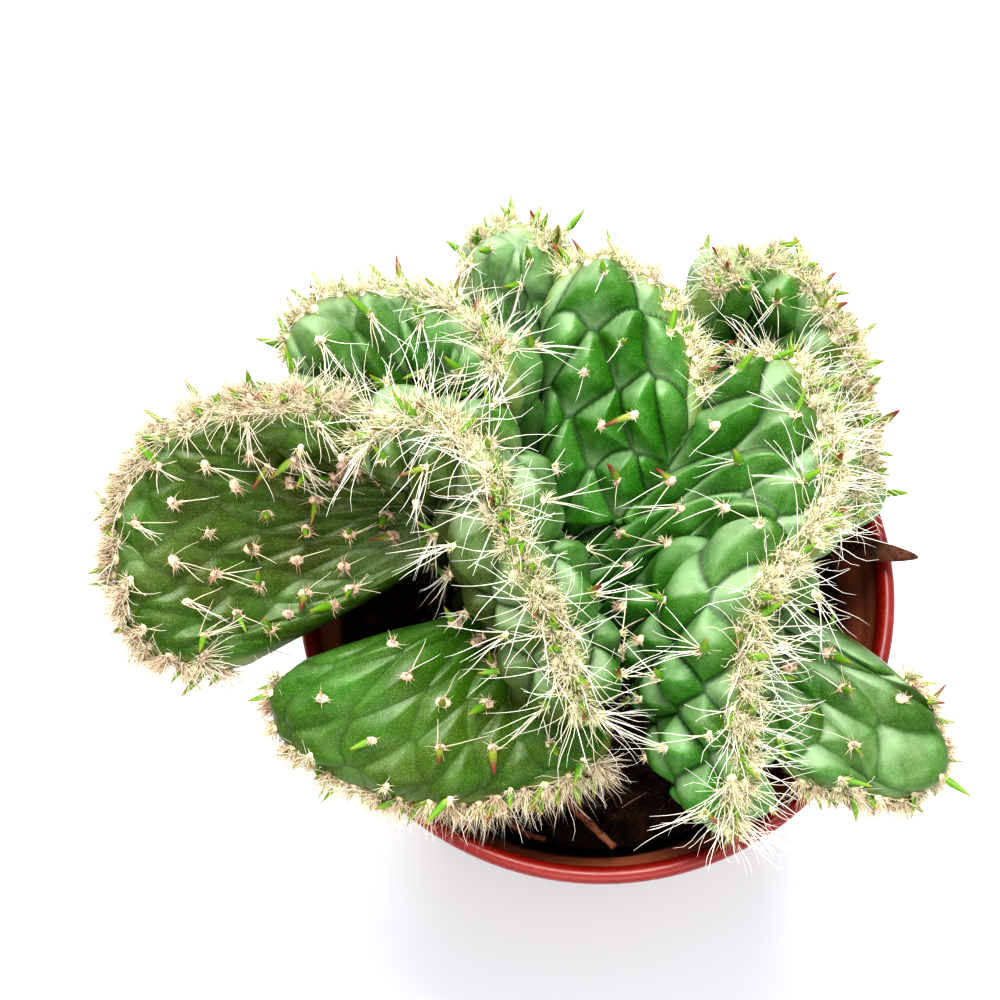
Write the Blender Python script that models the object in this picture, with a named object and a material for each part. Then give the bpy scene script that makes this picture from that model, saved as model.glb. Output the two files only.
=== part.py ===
"""A crested opuntia in a round plastic nursery pot.

The plant is one growth. Its growing tip has widened into a long winding crest, so its stem is a set of
thick fans that rise from one base. Each fan is a sheet between a root line and a crest line, with
tubercles in staggered columns, and an areole with spines and sometimes a leaf on each tubercle.
Sizes below are in millimetres. +Z is up, and the origin is the middle of the pot's underside.
"""

import math
import random

import bmesh
import bpy
import numpy as np
from mathutils import Matrix, Vector, noise
from mathutils.bvhtree import BVHTree

MM = 0.001
TOUCH_GAP = 0.3

# Pot
POT_HEIGHT = 75.0
RIM_RADIUS = 42.5
FOOT_RADIUS = 29.5
WALL = 1.5
FLOOR_THICKNESS = 2.0
LIP_HEIGHT = 9.0
LIP_STEP = 1.9
POT_SIDES = 56
DRAIN_HOLES = 6
DRAIN_HOLE_RADIUS = 3.5
DRAIN_CIRCLE_RADIUS = 19.0

# Soil
SOIL_TOP = 64.0
SOIL_MOUND = 2.0
SOIL_ROUGHNESS = 1.1
SOIL_RINGS = 9
SOIL_SIDES = 40

# Stem base, which stands in a plain hole in the soil: (radius, height) down its outside
STEM_CENTRE = (-3.0, 0.0)
STEM_PROFILE = ((11.0, 80.0), (16.5, 75.0), (16.0, 69.0), (12.5, 61.0), (9.5, 53.0), (5.0, 46.0))
STEM_DEPTH_SHARE = 0.86
STEM_SIDES = 16

# Fans
COLUMN = 5.8
ROW = 6.4
PEAK = 1.2
VALLEY = 0.5
JITTER = 0.13
END_SAMPLE = 0.01

# Each fan: where its crest and its root run, how far its sheet bows halfway up at the middle column (a
# shorter column bows less), and half its thickness at the root and at the crest.
FANS = {
    "left_fan": {
        "crest": ((-34, 15, 103), (-50, 15, 101), (-60, 11, 98), (-65, 2, 93), (-64, -8, 87), (-59, -15, 83),
                  (-50, -18, 82)),
        "root": ((-20, 13, 86), (-22, 6, 85), (-21, -2, 84)),
        "bow": (0, 0, -3),
        "half": (4.0, 5.2),
    },
    "back_left_fan": {
        "crest": ((-44, 23, 98), (-40, 29, 100), (-32, 32, 102), (-23, 30, 104), (-16, 24, 105), (-13, 16, 105)),
        "root": ((-22, 14, 83), (-15, 15, 83), (-8, 13, 82)),
        "bow": (0, -1, 1),
        "half": (4.0, 5.0),
    },
    "centre_ridge": {
        "crest": ((-34, 9, 102), (-26, 12, 106), (-19, 10, 108), (-14, 4, 108), (-11, -5, 105), (-7, -12, 102),
                  (-4, -19, 98), (-1, -27, 92)),
        "root": ((-22, 10, 72), (-18, 4, 71), (-13, -4, 71), (-8, -12, 71)),
        "bow": (1, 0, 0),
        "half": (6.0, 7.4),
    },
    "front_left_fan": {
        "crest": ((-43, -15, 84), (-44, -23, 83), (-36, -29, 82), (-26, -32, 82), (-15, -32, 82), (-5, -30, 84),
                  (2, -27, 86)),
        "root": ((-17, -6, 77), (-9, -10, 76), (-3, -11, 76)),
        "bow": (0, 0, 3),
        "half": (4.6, 5.0),
    },
    "back_lobe": {
        "crest": ((-20, 38, 97), (-16, 43, 99), (-10, 43, 99), (-5, 38, 99)),
        "root": ((-11, 15, 76), (-5, 15, 75), (1, 15, 77)),
        "bow": (-1, 1, 0),
        "half": (4.0, 5.4),
    },
    "back_fan": {
        "crest": ((-8, 34, 102), (0, 36, 104), (7, 32, 103), (11, 25, 102), (14, 16, 100)),
        "root": ((-9, 7, 80), (-1, 7, 83), (7, 7, 86)),
        "bow": (0, 0, 0),
        "half": (6.5, 6.2),
    },
    "back_right_fan": {
        "crest": ((15, 36, 95), (23, 41, 96), (31, 37, 95), (36, 28, 93), (38, 18, 90), (38, 10, 87), (35, 5, 86)),
        "root": ((2, 14, 75), (8, 10, 73), (13, 4, 75)),
        "bow": (2, 2, -6),
        "half": (4.5, 5.6),
    },
    "right_ridge": {
        "crest": ((17, 24, 98), (23, 23, 100), (28, 16, 101), (29, 7, 102), (26, -3, 103), (19, -10, 102),
                  (17, -20, 98), (17, -29, 93), (16, -36, 88), (16, -41, 85)),
        "root": ((-3, 8, 79), (0, 1, 78), (5, -7, 75), (11, -14, 72)),
        "bow": (0, 0, 0),
        "half": (5.5, 7.4),
    },
    "front_right_fan": {
        "crest": ((25, -31, 83), (31, -31, 82), (37, -32, 80), (42, -31, 79), (46, -27, 79), (46, -20, 81),
                  (42, -13, 84)),
        "root": ((15, -14, 81), (18, -9, 81), (19, -3, 82)),
        "bow": (0, 0, 3),
        "half": (4.0, 4.6),
    },
}

# Areoles, with their spines and leaves
SPARE_REACH = 1.5
CUSHION_RADIUS = 0.85
CREST_CUSHION_RADIUS = 1.0
CUSHION_RISE = 0.1
SPINE_LENGTH = (4.5, 8.5)
CREST_SPINE_LENGTH = (5.5, 9.5)
CREST_STEP = 7.6
OFF_PEAK = 0.22
LEAF_LENGTH = (3.6, 5.4)
LEAF_RADIUS = 0.8
LEAF_CHANCE = 0.3

# Dry bits that lie loose in the pot. The last number of each point is its height over the soil.
TWIG = {"line": ((-6.0, -28.0, 0.0), (-2.0, -32.5, 1.4), (2.0, -37.0, 3.2)), "radius": 0.8}
DRY_ROOTS = {
    "long_dry_root": {
        "line": ((-18.5, -26.5, 0.2), (-16.0, -29.5, 0.6), (-13.4, -32.2, 0.4), (-10.6, -34.4, 0.5),
                 (-7.4, -35.6, 0.8)),
        "radius": 0.6,
    },
    "curled_dry_root": {
        "line": ((-14.5, -23.5, 0.4), (-11.0, -24.6, 0.6), (-9.6, -27.6, 0.9), (-11.6, -29.4, 0.3)),
        "radius": 0.55,
    },
}
CHIP_LINE = ((28.0, 9.5, 65.4), (44.6, 1.3, 80.2))
CHIP_WIDTH = 4.4
CHIP_THICKNESS = 1.8


def material(name, colour, roughness):
    """A plain finish in the piece's own colour."""
    made = bpy.data.materials.new(name)
    made.use_nodes = True
    shader = made.node_tree.nodes["Principled BSDF"]
    shader.inputs["Base Color"].default_value = (*colour, 1.0)
    shader.inputs["Roughness"].default_value = roughness
    shader.inputs["Metallic"].default_value = 0.0
    return made


def node_from(shape, name, finish=None):
    """A mesh object made from a bmesh whose points are in millimetres."""
    bmesh.ops.transform(shape, matrix=Matrix.Scale(MM, 4), verts=shape.verts)
    bmesh.ops.recalc_face_normals(shape, faces=shape.faces)
    mesh = bpy.data.meshes.new(name)
    shape.to_mesh(mesh)
    shape.free()
    made = bpy.data.objects.new(name, mesh)
    bpy.context.scene.collection.objects.link(made)
    if finish:
        mesh.materials.append(finish)
    return made


def smooth_round_faces(made, sharp_degrees=40):
    made.data.shade_smooth()
    made.data.set_sharp_from_angle(angle=math.radians(sharp_degrees))


def apply_modifiers(made):
    """The object's mesh becomes what its modifiers make of it."""
    graph = bpy.context.evaluated_depsgraph_get()
    mesh = bpy.data.meshes.new_from_object(made.evaluated_get(graph))
    made.modifiers.clear()
    made.data = mesh


def join_all(made, others):
    """One Boolean union of an object with others, which are then removed.

    The fast solver is used, because the exact one leaves edges with four faces where two fans meet.
    """
    group = bpy.data.collections.new("joined")
    bpy.context.scene.collection.children.link(group)
    for other in others:
        group.objects.link(other)
        bpy.context.scene.collection.objects.unlink(other)
    union = made.modifiers.new("union", "BOOLEAN")
    union.operation = "UNION"
    union.operand_type = "COLLECTION"
    union.collection = group
    union.solver = "MANIFOLD"
    apply_modifiers(made)
    for other in others:
        bpy.data.objects.remove(other)
    bpy.data.collections.remove(group)


def fill_pockets(made):
    """Keeps the outer skin only, so that a pocket shut in between two fans is solid."""
    shape = bmesh.new()
    shape.from_mesh(made.data)
    unseen = set(shape.faces)
    pieces = []
    while unseen:
        piece, edge_of_piece = [], [unseen.pop()]
        while edge_of_piece:
            face = edge_of_piece.pop()
            piece.append(face)
            near = {other for edge in face.edges for other in edge.link_faces if other in unseen}
            unseen -= near
            edge_of_piece.extend(near)
        pieces.append(piece)
    pieces.sort(key=len)
    for piece in pieces[:-1]:
        bmesh.ops.delete(shape, geom=piece, context="FACES")
    shape.to_mesh(made.data)
    shape.free()


def cut(made, cutter):
    """Cuts one shape from an object. The cutter stays as a hidden guide."""
    cutter.hide_render = True
    cutter.display_type = "WIRE"
    hole = made.modifiers.new(cutter.name, "BOOLEAN")
    hole.operation = "DIFFERENCE"
    hole.object = cutter


def turned(outline, sides):
    """A closed shape turned round Z from (radius, height) points, which start and end on the axis."""
    shape = bmesh.new()
    points = [shape.verts.new((radius, 0.0, height)) for radius, height in outline]
    edges = [shape.edges.new(pair) for pair in zip(points, points[1:])]
    bmesh.ops.spin(
        shape, geom=points + edges, cent=(0, 0, 0), axis=(0, 0, 1), angle=math.tau, steps=sides, use_merge=True
    )
    bmesh.ops.remove_doubles(shape, verts=shape.verts, dist=0.001)
    return shape


def smooth_path(points, share):
    """Places at these shares of the length of a smooth curve through the points, and its length."""
    known = np.array(points, float)
    padded = np.vstack([2 * known[0] - known[1], known, 2 * known[-1] - known[-2]])
    t = np.linspace(0, 1, 32, endpoint=False)[:, None]
    spans = [
        0.5 * (2 * b + (c - a) * t + (2 * a - 5 * b + 4 * c - d) * t**2 + (3 * b - a - 3 * c + d) * t**3)
        for a, b, c, d in zip(padded, padded[1:], padded[2:], padded[3:])
    ]
    dense = np.vstack([*spans, known[-1:]])
    run = np.concatenate([[0.0], np.cumsum(np.linalg.norm(np.diff(dense, axis=0), axis=1))])
    places = np.stack([np.interp(np.asarray(share) * run[-1], run, dense[:, k]) for k in range(3)], axis=-1)
    return places, run[-1]


def unit(rows):
    return rows / np.maximum(np.linalg.norm(rows, axis=-1, keepdims=True), 1e-9)


def fan_grid(fan):
    """(columns, rows) of a fan: one column for each COLUMN of crest, one row for each ROW down a side."""
    crest_length = smooth_path(fan["crest"], [0.0])[1]
    middle = smooth_path(fan["crest"], [0.5])[0][0] - smooth_path(fan["root"], [0.5])[0][0]
    return 2 * round(crest_length / COLUMN / 2), round(np.linalg.norm(middle) / ROW)


def fan_surface(fan, column, row, side):
    """Points and outward directions of a fan's skin. Row 0 is the crest, and side is 1 or -1."""
    columns, rows = fan_grid(fan)
    side = np.asarray(side, float)
    u = np.clip(np.asarray(column, float) / columns, 0, 1)
    crest, crest_length = smooth_path(fan["crest"], u)
    root = smooth_path(fan["root"], u)[0]
    before, after = np.clip(u - END_SAMPLE, 0, 1), np.clip(u + END_SAMPLE, 0, 1)
    along_crest = smooth_path(fan["crest"], after)[0] - smooth_path(fan["crest"], before)[0]
    along_root = smooth_path(fan["root"], after)[0] - smooth_path(fan["root"], before)[0]
    root_half, crest_half = fan["half"]
    from_end = np.clip((1 - np.abs(2 * u - 1)) * crest_length / 2 / crest_half, 0, 1)
    round_end = np.sqrt(1 - (1 - from_end) ** 2)
    cap_half = crest_half * round_end
    rise = unit(crest - root)
    head = crest - rise * crest_half
    flank_length = np.linalg.norm(head - root, axis=-1)
    cap_length = cap_half * math.pi / 2
    run = np.asarray(row, float) / rows * (flank_length + cap_length)
    v = np.clip(1 - (run - cap_length) / flank_length, 0, 1)[..., None]
    middle = smooth_path(fan["crest"], [0.5])[0] - smooth_path(fan["root"], [0.5])[0]
    bow = np.array(fan["bow"], float) * ((crest - root) ** 2).sum(-1, keepdims=True) / (middle**2).sum()
    centre = root + (head - root) * v + bow * 4 * v * (1 - v)
    up = unit(head - root + bow * 4 * (1 - 2 * v))
    across = unit(np.cross(unit(along_root + (along_crest - along_root) * v), up))
    half = (root_half + (crest_half - root_half) * v[..., 0]) * round_end
    lean = np.clip(run / np.maximum(cap_half, 1e-6), 0, math.pi / 2)
    out = across * (np.sin(lean) * side)[..., None] + up * np.cos(lean)[..., None]
    return centre + out * half[..., None], out


def shifted(name, i, j):
    """The small offset, in columns and rows, of the tubercle at a place of a fan's lattice."""
    draw = random.Random(f"{name} {i} {j}")
    return draw.uniform(-JITTER, JITTER), draw.uniform(-JITTER, JITTER)


def fan_shape(name, fan):
    """One fan as a closed shape: a grid wrapped round its sheet, with a raised point on each tubercle.

    The grid's columns run along the crest. Its rows run from the root up one side, over the crest and down
    the other side, and its last row meets its first one along the root.
    """
    columns, rows = fan_grid(fan)
    around = 2 * rows + 1
    shape = bmesh.new()
    bmesh.ops.create_grid(shape, x_segments=columns, y_segments=around, size=0.5)
    column, row, side, lift = [], [], [], []
    creases = []
    for vert in shape.verts:
        i = round((vert.co.x + 0.5) * columns)
        wrapped = round((vert.co.y + 0.5) * around) % around - rows
        j = abs(wrapped)
        on_edge = i in (0, columns) or j == rows
        is_tubercle = (i + j) % 2 == 0 and not on_edge
        d_column, d_row = shifted(name, i, j) if is_tubercle and j else (0.0, 0.0)
        column.append(i + d_column)
        row.append(j + d_row)
        side.append(1.0 if wrapped >= 0 else -1.0)
        lift.append(0.0 if on_edge else PEAK if is_tubercle else -VALLEY)
        if not is_tubercle and not on_edge:
            creases.append(vert)
    points, out = fan_surface(fan, column, row, side)
    for vert, point in zip(shape.verts, points + out * np.array(lift)[:, None]):
        vert.co = point
    bmesh.ops.connect_verts(shape, verts=creases)
    bmesh.ops.remove_doubles(shape, verts=shape.verts, dist=0.02)
    return shape


def stem_outline(swell=0.0):
    """The stem base's profile, from its top on the axis to its tip on the axis, grown by swell."""
    top, tip = STEM_PROFILE[0][1] + 2, STEM_PROFILE[-1][1] - 1
    return [(0.0, top), *((r + swell, h - swell) for r, h in STEM_PROFILE), (0.0, tip - swell)]


def stem_shape(swell=0.0):
    shape = turned(stem_outline(swell), STEM_SIDES)
    for vert in shape.verts:
        vert.co.y *= STEM_DEPTH_SHARE
    bmesh.ops.translate(shape, verts=shape.verts, vec=(*STEM_CENTRE, 0.0))
    return shape


def areole_places(name, fan):
    """The areoles of a fan: (place, outward direction, direction to the crest, row, key)."""
    columns, rows = fan_grid(fan)
    crest_length = smooth_path(fan["crest"], [0.0])[1]
    spots = [(i, j, side) for side in (1, -1) for j in range(1, rows - 1, 2) for i in range(1, columns, 2)]
    count = round((crest_length - 2 * fan["half"][1]) / CREST_STEP)
    ends = 0.5 * fan["half"][1] / crest_length
    spots += [(columns * (ends + (1 - 2 * ends) * k / count), 0, (-1) ** k) for k in range(count + 1)]
    found = []
    for i, j, side in spots:
        d_column, d_row = shifted(name, i, j) if j else (0.0, 2 * OFF_PEAK)
        column, row = i + d_column + OFF_PEAK, j + d_row - OFF_PEAK
        here, out = fan_surface(fan, [column, column], [row, max(row - 0.3, 0)], [side, side])
        toward_crest = Vector(here[1] - here[0]).normalized() if j else Vector(out[0]).orthogonal()
        found.append((Vector(here[0]), Vector(out[0]), toward_crest, j, (round(i, 2), side)))
    return found


def clear_of_pot(point):
    """True where a spine tip is outside the pot, above its rim, or in the air over the soil."""
    radius = math.hypot(point.x, point.y)
    inside = RIM_RADIUS - 4.5
    return point.z > POT_HEIGHT + 1 or radius > RIM_RADIUS + 1.2 or (
        radius < inside - 1 and point.z > SOIL_TOP + SOIL_MOUND + SOIL_ROUGHNESS
    )


def facing(out, toward_crest):
    """A turn that takes Z to the outward direction and Y towards the crest."""
    across = toward_crest.cross(out).normalized()
    return Matrix((across, out.cross(across), out)).transposed().to_4x4()


def areole_shape(place, out, toward_crest, radius, spines, lengths, draw):
    """A small cushion with some of its upper faces drawn out into spines."""
    shape = bmesh.new()
    bmesh.ops.create_uvsphere(shape, u_segments=max(3, spines), v_segments=2, radius=radius)
    turn = Matrix.Rotation(draw.uniform(0, math.tau), 3, "Z")
    for vert in shape.verts:
        vert.co = turn @ vert.co
        vert.co.z *= 0.75
    upper = [face for face in shape.faces if face.calc_center_median().z > 0]
    draw.shuffle(upper)
    tips = bmesh.ops.poke(shape, faces=upper[:spines])["verts"]
    for tip in tips:
        lean = Vector((tip.co.x, tip.co.y, 0)).normalized() * draw.uniform(0.7, 1.5)
        tip.co = (lean + Vector((0, 0, 1))).normalized() * draw.uniform(*lengths)
    matrix = facing(out, toward_crest)
    matrix.translation = place + out * CUSHION_RISE
    bmesh.ops.transform(shape, matrix=matrix, verts=shape.verts)
    return shape


def leaf_shape(place, out, toward_crest, draw):
    """A small pointed leaf that leans to the crest, with its lower tip sunk in the tubercle."""
    length = draw.uniform(*LEAF_LENGTH)
    axis = (out + toward_crest * draw.uniform(0.2, 0.9)).normalized()
    shape = bmesh.new()
    bmesh.ops.create_uvsphere(shape, u_segments=3, v_segments=2, radius=1.0)
    for vert in shape.verts:
        vert.co.x *= LEAF_RADIUS
        vert.co.y *= LEAF_RADIUS
        vert.co.z *= length * (0.72 if vert.co.z > 0 else 0.45)
    matrix = facing(axis, out.orthogonal())
    matrix.translation = place + toward_crest * 1.9 + axis * (length * 0.22)
    bmesh.ops.transform(shape, matrix=matrix, verts=shape.verts)
    return shape


def make_body(finish):
    """The fans, joined on the stem base."""
    plant = node_from(stem_shape(), "cactus", finish)
    join_all(plant, [node_from(fan_shape(name, fan), name) for name, fan in FANS.items()])
    fill_pockets(plant)
    return plant


def add_details(plant):
    """Areoles with their spines, and leaves, joined to the fans wherever a fan's skin is bare."""
    skin = BVHTree.FromObject(plant, bpy.context.evaluated_depsgraph_get())
    details = []
    for name, fan in FANS.items():
        for place, out, toward_crest, row, key in areole_places(name, fan):
            near, _, _, gap = skin.find_nearest(place * MM)
            if gap > SPARE_REACH * MM:
                continue
            draw = random.Random(f"{name} {row} {key}")
            place = near / MM
            radius = CUSHION_RADIUS if row else CREST_CUSHION_RADIUS
            lengths = SPINE_LENGTH if row else CREST_SPINE_LENGTH
            shapes = [areole_shape(place, out, toward_crest, radius, 2 if row else 4, lengths, draw)]
            if draw.random() < LEAF_CHANCE:
                shapes.append(leaf_shape(place, out, toward_crest, draw))
            for shape in shapes:
                if all(clear_of_pot(vert.co) for vert in shape.verts):
                    details.append(node_from(shape, "detail"))
                else:
                    shape.free()
    join_all(plant, details)
    fill_pockets(plant)


def make_pot(finish):
    """A thin-walled pot with a stepped lip and drain holes in its floor."""
    step = POT_HEIGHT - LIP_HEIGHT
    wall_top = RIM_RADIUS - LIP_STEP - 1.0
    outline = [
        (0.0, 0.0),
        (FOOT_RADIUS - 1.0, 0.0),
        (FOOT_RADIUS, 1.0),
        (wall_top, step),
        (RIM_RADIUS - 1.0, step + 0.7),
        (RIM_RADIUS, POT_HEIGHT - 1.0),
        (RIM_RADIUS - 0.4, POT_HEIGHT - 0.2),
        (RIM_RADIUS - 1.2, POT_HEIGHT),
        (RIM_RADIUS - 1.9, POT_HEIGHT - 0.2),
        (RIM_RADIUS - 2.3, POT_HEIGHT - 1.0),
        (RIM_RADIUS - LIP_STEP - 1.2, step + 1.6),
        (wall_top - WALL, step - 0.6),
        (FOOT_RADIUS - WALL, FLOOR_THICKNESS + 1.0),
        (FOOT_RADIUS - WALL - 1.0, FLOOR_THICKNESS),
        (0.0, FLOOR_THICKNESS),
    ]
    pot = node_from(turned(outline, POT_SIDES), "pot", finish)
    smooth_round_faces(pot)
    holes = bmesh.new()
    for k in range(DRAIN_HOLES):
        place = Matrix.Rotation(math.tau * k / DRAIN_HOLES, 4, "Z") @ Matrix.Translation((DRAIN_CIRCLE_RADIUS, 0, 0))
        bmesh.ops.create_cone(
            holes,
            cap_ends=True,
            segments=16,
            radius1=DRAIN_HOLE_RADIUS,
            radius2=DRAIN_HOLE_RADIUS,
            depth=4 * FLOOR_THICKNESS,
            matrix=place,
        )
    cut(pot, node_from(holes, "drain_hole_cutter"))
    return pot


def soil_height(x, y):
    """The lumpy top of the soil, mounded towards the stem."""
    mound = SOIL_MOUND * (1 - math.hypot(x, y) / RIM_RADIUS)
    return SOIL_TOP + mound + SOIL_ROUGHNESS * noise.noise(Vector((x, y, 3.0)) * 0.16)


def make_soil(finish):
    """The root ball's soil: it fills the pot up to a lumpy top, with a plain hole for the stem base."""
    wall_top = RIM_RADIUS - LIP_STEP - 1.0 - WALL
    foot = FOOT_RADIUS - WALL
    slope = (wall_top - foot) / (POT_HEIGHT - LIP_HEIGHT - FLOOR_THICKNESS)
    top_radius = foot + slope * (SOIL_TOP - FLOOR_THICKNESS) - 2.5 * TOUCH_GAP
    base = FLOOR_THICKNESS + TOUCH_GAP
    rings = [top_radius * k / SOIL_RINGS for k in range(SOIL_RINGS + 1)]
    outline = [(r, SOIL_TOP) for r in rings] + [(foot - 1.0, base + 2.0), (foot - 2.5, base), (0.0, base)]
    shape = turned(outline, SOIL_SIDES)
    for vert in shape.verts:
        if vert.co.z > SOIL_TOP - 0.01:
            vert.co.z = soil_height(vert.co.x, vert.co.y)
    soil = node_from(shape, "soil", finish)
    smooth_round_faces(soil)
    cut(soil, node_from(stem_shape(TOUCH_GAP), "stem_hole_cutter"))
    return soil


def make_tube(name, points, radius, finish):
    """A dry root or twig along a smooth curve, with flat ends."""
    line = bpy.data.curves.new(name, "CURVE")
    line.dimensions = "3D"
    line.bevel_depth = radius * MM
    line.bevel_resolution = 1
    line.use_fill_caps = True
    spline = line.splines.new("POLY")
    places = smooth_path(points, np.linspace(0, 1, 3 * len(points)))[0]
    spline.points.add(len(places) - 1)
    for point, (x, y, rise) in zip(spline.points, places):
        point.co = (x * MM, y * MM, (soil_height(x, y) + radius + TOUCH_GAP + rise) * MM, 1.0)
    made = bpy.data.objects.new(name, line)
    bpy.context.scene.collection.objects.link(made)
    line.materials.append(finish)
    return made


def make_chip(finish):
    """A flat pointed chip that leans out of the pot over its rim."""
    low, high = (Vector(end) for end in CHIP_LINE)
    shape = bmesh.new()
    bmesh.ops.create_uvsphere(shape, u_segments=10, v_segments=6, radius=0.5)
    for vert in shape.verts:
        taper = 1.0 - 0.7 * abs(vert.co.z)
        vert.co.x *= CHIP_THICKNESS
        vert.co.y *= CHIP_WIDTH * taper
        vert.co.z *= (high - low).length
    along = (high - low).normalized()
    across = Vector((0, 0, 1)).cross(along).normalized()
    matrix = Matrix((across.cross(along), across, along)).transposed().to_4x4()
    matrix.translation = (low + high) / 2
    bmesh.ops.transform(shape, matrix=matrix, verts=shape.verts)
    return node_from(shape, "rim_chip", finish)


def clear_scene():
    for old in list(bpy.data.objects):
        bpy.data.objects.remove(old)


def main():
    clear_scene()
    green = material("cactus_skin", (0.10, 0.30, 0.08), 0.45)
    red = material("pot_plastic", (0.62, 0.05, 0.03), 0.35)
    brown = material("potting_soil", (0.07, 0.045, 0.03), 0.95)
    bark = material("dry_bark", (0.10, 0.05, 0.03), 0.85)
    straw = material("dry_root", (0.42, 0.20, 0.11), 0.8)
    make_pot(red)
    make_soil(brown)
    add_details(make_body(green))
    make_tube("twig", TWIG["line"], TWIG["radius"], straw)
    for name, root in DRY_ROOTS.items():
        make_tube(name, root["line"], root["radius"], straw)
    make_chip(bark)


main()
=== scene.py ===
# %% [markdown]
# # A crested opuntia in a nursery pot
#
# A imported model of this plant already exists, as plain solids: a pot, soil, the plant, and some dry bits.
# This lesson dresses each solid in a finer piece at the same place, and lights and frames the whole.
# The plant's growing tips have widened into long winding crests, so its stem is a set of thick fans.
# Each fan carries tubercles, which are low pillows with a dark crease round them. Each tubercle carries an
# areole, which is a tuft of wool with spines and sometimes a small leaf.
# Sizes are in millimetres until a mesh is finished. +Z is up, and the origin is under the pot's middle.

import math

import bmesh
import bpy
import numpy as np
from mathutils import Matrix, Vector, noise
from mathutils.bvhtree import BVHTree
from mathutils.kdtree import KDTree


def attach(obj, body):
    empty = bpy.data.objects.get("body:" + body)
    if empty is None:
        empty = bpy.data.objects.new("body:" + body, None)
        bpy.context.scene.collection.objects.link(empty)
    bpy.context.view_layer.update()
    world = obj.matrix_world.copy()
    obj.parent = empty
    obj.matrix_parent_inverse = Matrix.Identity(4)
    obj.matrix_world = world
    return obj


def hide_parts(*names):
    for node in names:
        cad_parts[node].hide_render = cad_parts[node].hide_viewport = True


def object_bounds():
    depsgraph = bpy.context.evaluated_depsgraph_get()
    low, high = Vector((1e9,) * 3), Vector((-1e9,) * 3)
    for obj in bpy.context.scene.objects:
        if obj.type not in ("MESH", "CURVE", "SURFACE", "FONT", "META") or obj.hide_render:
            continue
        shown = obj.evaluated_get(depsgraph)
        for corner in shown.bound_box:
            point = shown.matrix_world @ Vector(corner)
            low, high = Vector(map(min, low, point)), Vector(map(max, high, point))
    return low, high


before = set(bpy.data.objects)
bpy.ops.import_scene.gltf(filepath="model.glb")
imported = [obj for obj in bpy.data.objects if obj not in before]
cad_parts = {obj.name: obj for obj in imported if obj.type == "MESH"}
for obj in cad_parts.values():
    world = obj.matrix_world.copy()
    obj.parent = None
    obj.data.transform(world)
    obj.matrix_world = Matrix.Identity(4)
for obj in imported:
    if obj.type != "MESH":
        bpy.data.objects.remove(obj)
cad_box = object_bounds()
MM = 0.001
print("solids to dress:", ", ".join(sorted(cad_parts)))
print("box of the solids in mm:", [[round(c / MM, 1) for c in corner] for corner in cad_box])

# %% [markdown]
# ## Camera
#
# The photograph looks down on the plant from about 70 degrees. The pot's rim is an ellipse in it, and the
# ellipse's shape, size and place fix where the camera stood.

# %% Set up the camera
CAMERA_PLACE = Vector((-13.7, -65.454, 291.673))
CAMERA_TARGET = Vector((-13.7, 11.7, 75.0))
SENSOR_WIDTH = 36.0
FOCAL_LENGTH = 57.24

camera = bpy.data.objects.new("camera", bpy.data.cameras.new("camera"))
camera.data.sensor_width = SENSOR_WIDTH
camera.data.lens = FOCAL_LENGTH
camera.location = CAMERA_PLACE * MM
camera.rotation_euler = (CAMERA_TARGET - CAMERA_PLACE).to_track_quat("-Z", "Y").to_euler()
bpy.context.scene.collection.objects.link(camera)
bpy.context.scene.camera = camera
print("camera is", round((CAMERA_TARGET - CAMERA_PLACE).length), "mm from the plant")

# %% [markdown]
# ## Light and floor
#
# The photograph is bright and nearly without shadows, as beside a large window: white all round, with the
# strongest light from behind the plant. A white world gives the even light, and two large area lights give
# the direction. The plain view transform keeps the whites white, and its high contrast look deepens the
# greens and the gaps between the fans.

# %% Make the floor and the lights
FLOOR_SIZE = 12000.0
LIGHTS = {
    "window": {"place": (-60.0, 340.0, 760.0), "size": 420.0, "power": 7.2},
    "front_fill": {"place": (60.0, -560.0, 560.0), "size": 600.0, "power": 2.2},
}
WORLD_COLOUR = (0.97, 0.98, 1.0, 1.0)
WORLD_STRENGTH = 0.9

view = bpy.context.scene.view_settings
view.view_transform = "Standard"
view.look = "High Contrast"

world = bpy.data.worlds.new("pale_room")
world.use_nodes = True
world.node_tree.nodes["Background"].inputs["Color"].default_value = WORLD_COLOUR
world.node_tree.nodes["Background"].inputs["Strength"].default_value = WORLD_STRENGTH
bpy.context.scene.world = world

for name, light in LIGHTS.items():
    lamp = bpy.data.lights.new(name, "AREA")
    lamp.shape = "DISK"
    lamp.size = light["size"] * MM
    lamp.energy = light["power"]
    lamp_holder = bpy.data.objects.new(name, lamp)
    lamp_holder.location = Vector(light["place"]) * MM
    toward_plant = CAMERA_TARGET - Vector(light["place"])
    lamp_holder.rotation_euler = toward_plant.to_track_quat("-Z", "Y").to_euler()
    bpy.context.scene.collection.objects.link(lamp_holder)
print("lights:", ", ".join(LIGHTS))

# %% [markdown]
# ## Helpers for materials
#
# A material is a small tree of nodes. One helper adds a node and joins its inputs. Short ones built on it
# do arithmetic, make a smooth step between two limits, and read an attribute or the place on the object.


# %% Node helpers
def add(tree, kind, inputs=None, **settings):
    """Adds a node, sets its options, and joins or sets its inputs."""
    made = tree.nodes.new(kind)
    for name, value in settings.items():
        setattr(made, name, value)
    for name, value in (inputs or {}).items():
        if isinstance(value, bpy.types.NodeSocket):
            tree.links.new(value, made.inputs[name])
        else:
            made.inputs[name].default_value = value
    return made


def maths(tree, operation, *values, clamp=False):
    made = add(tree, "ShaderNodeMath", dict(enumerate(values)), operation=operation)
    made.use_clamp = clamp
    return made.outputs[0]


def times(tree, first, second):
    return maths(tree, "MULTIPLY", first, second)


def left_from_one(tree, value):
    return maths(tree, "SUBTRACT", 1.0, value)


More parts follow.
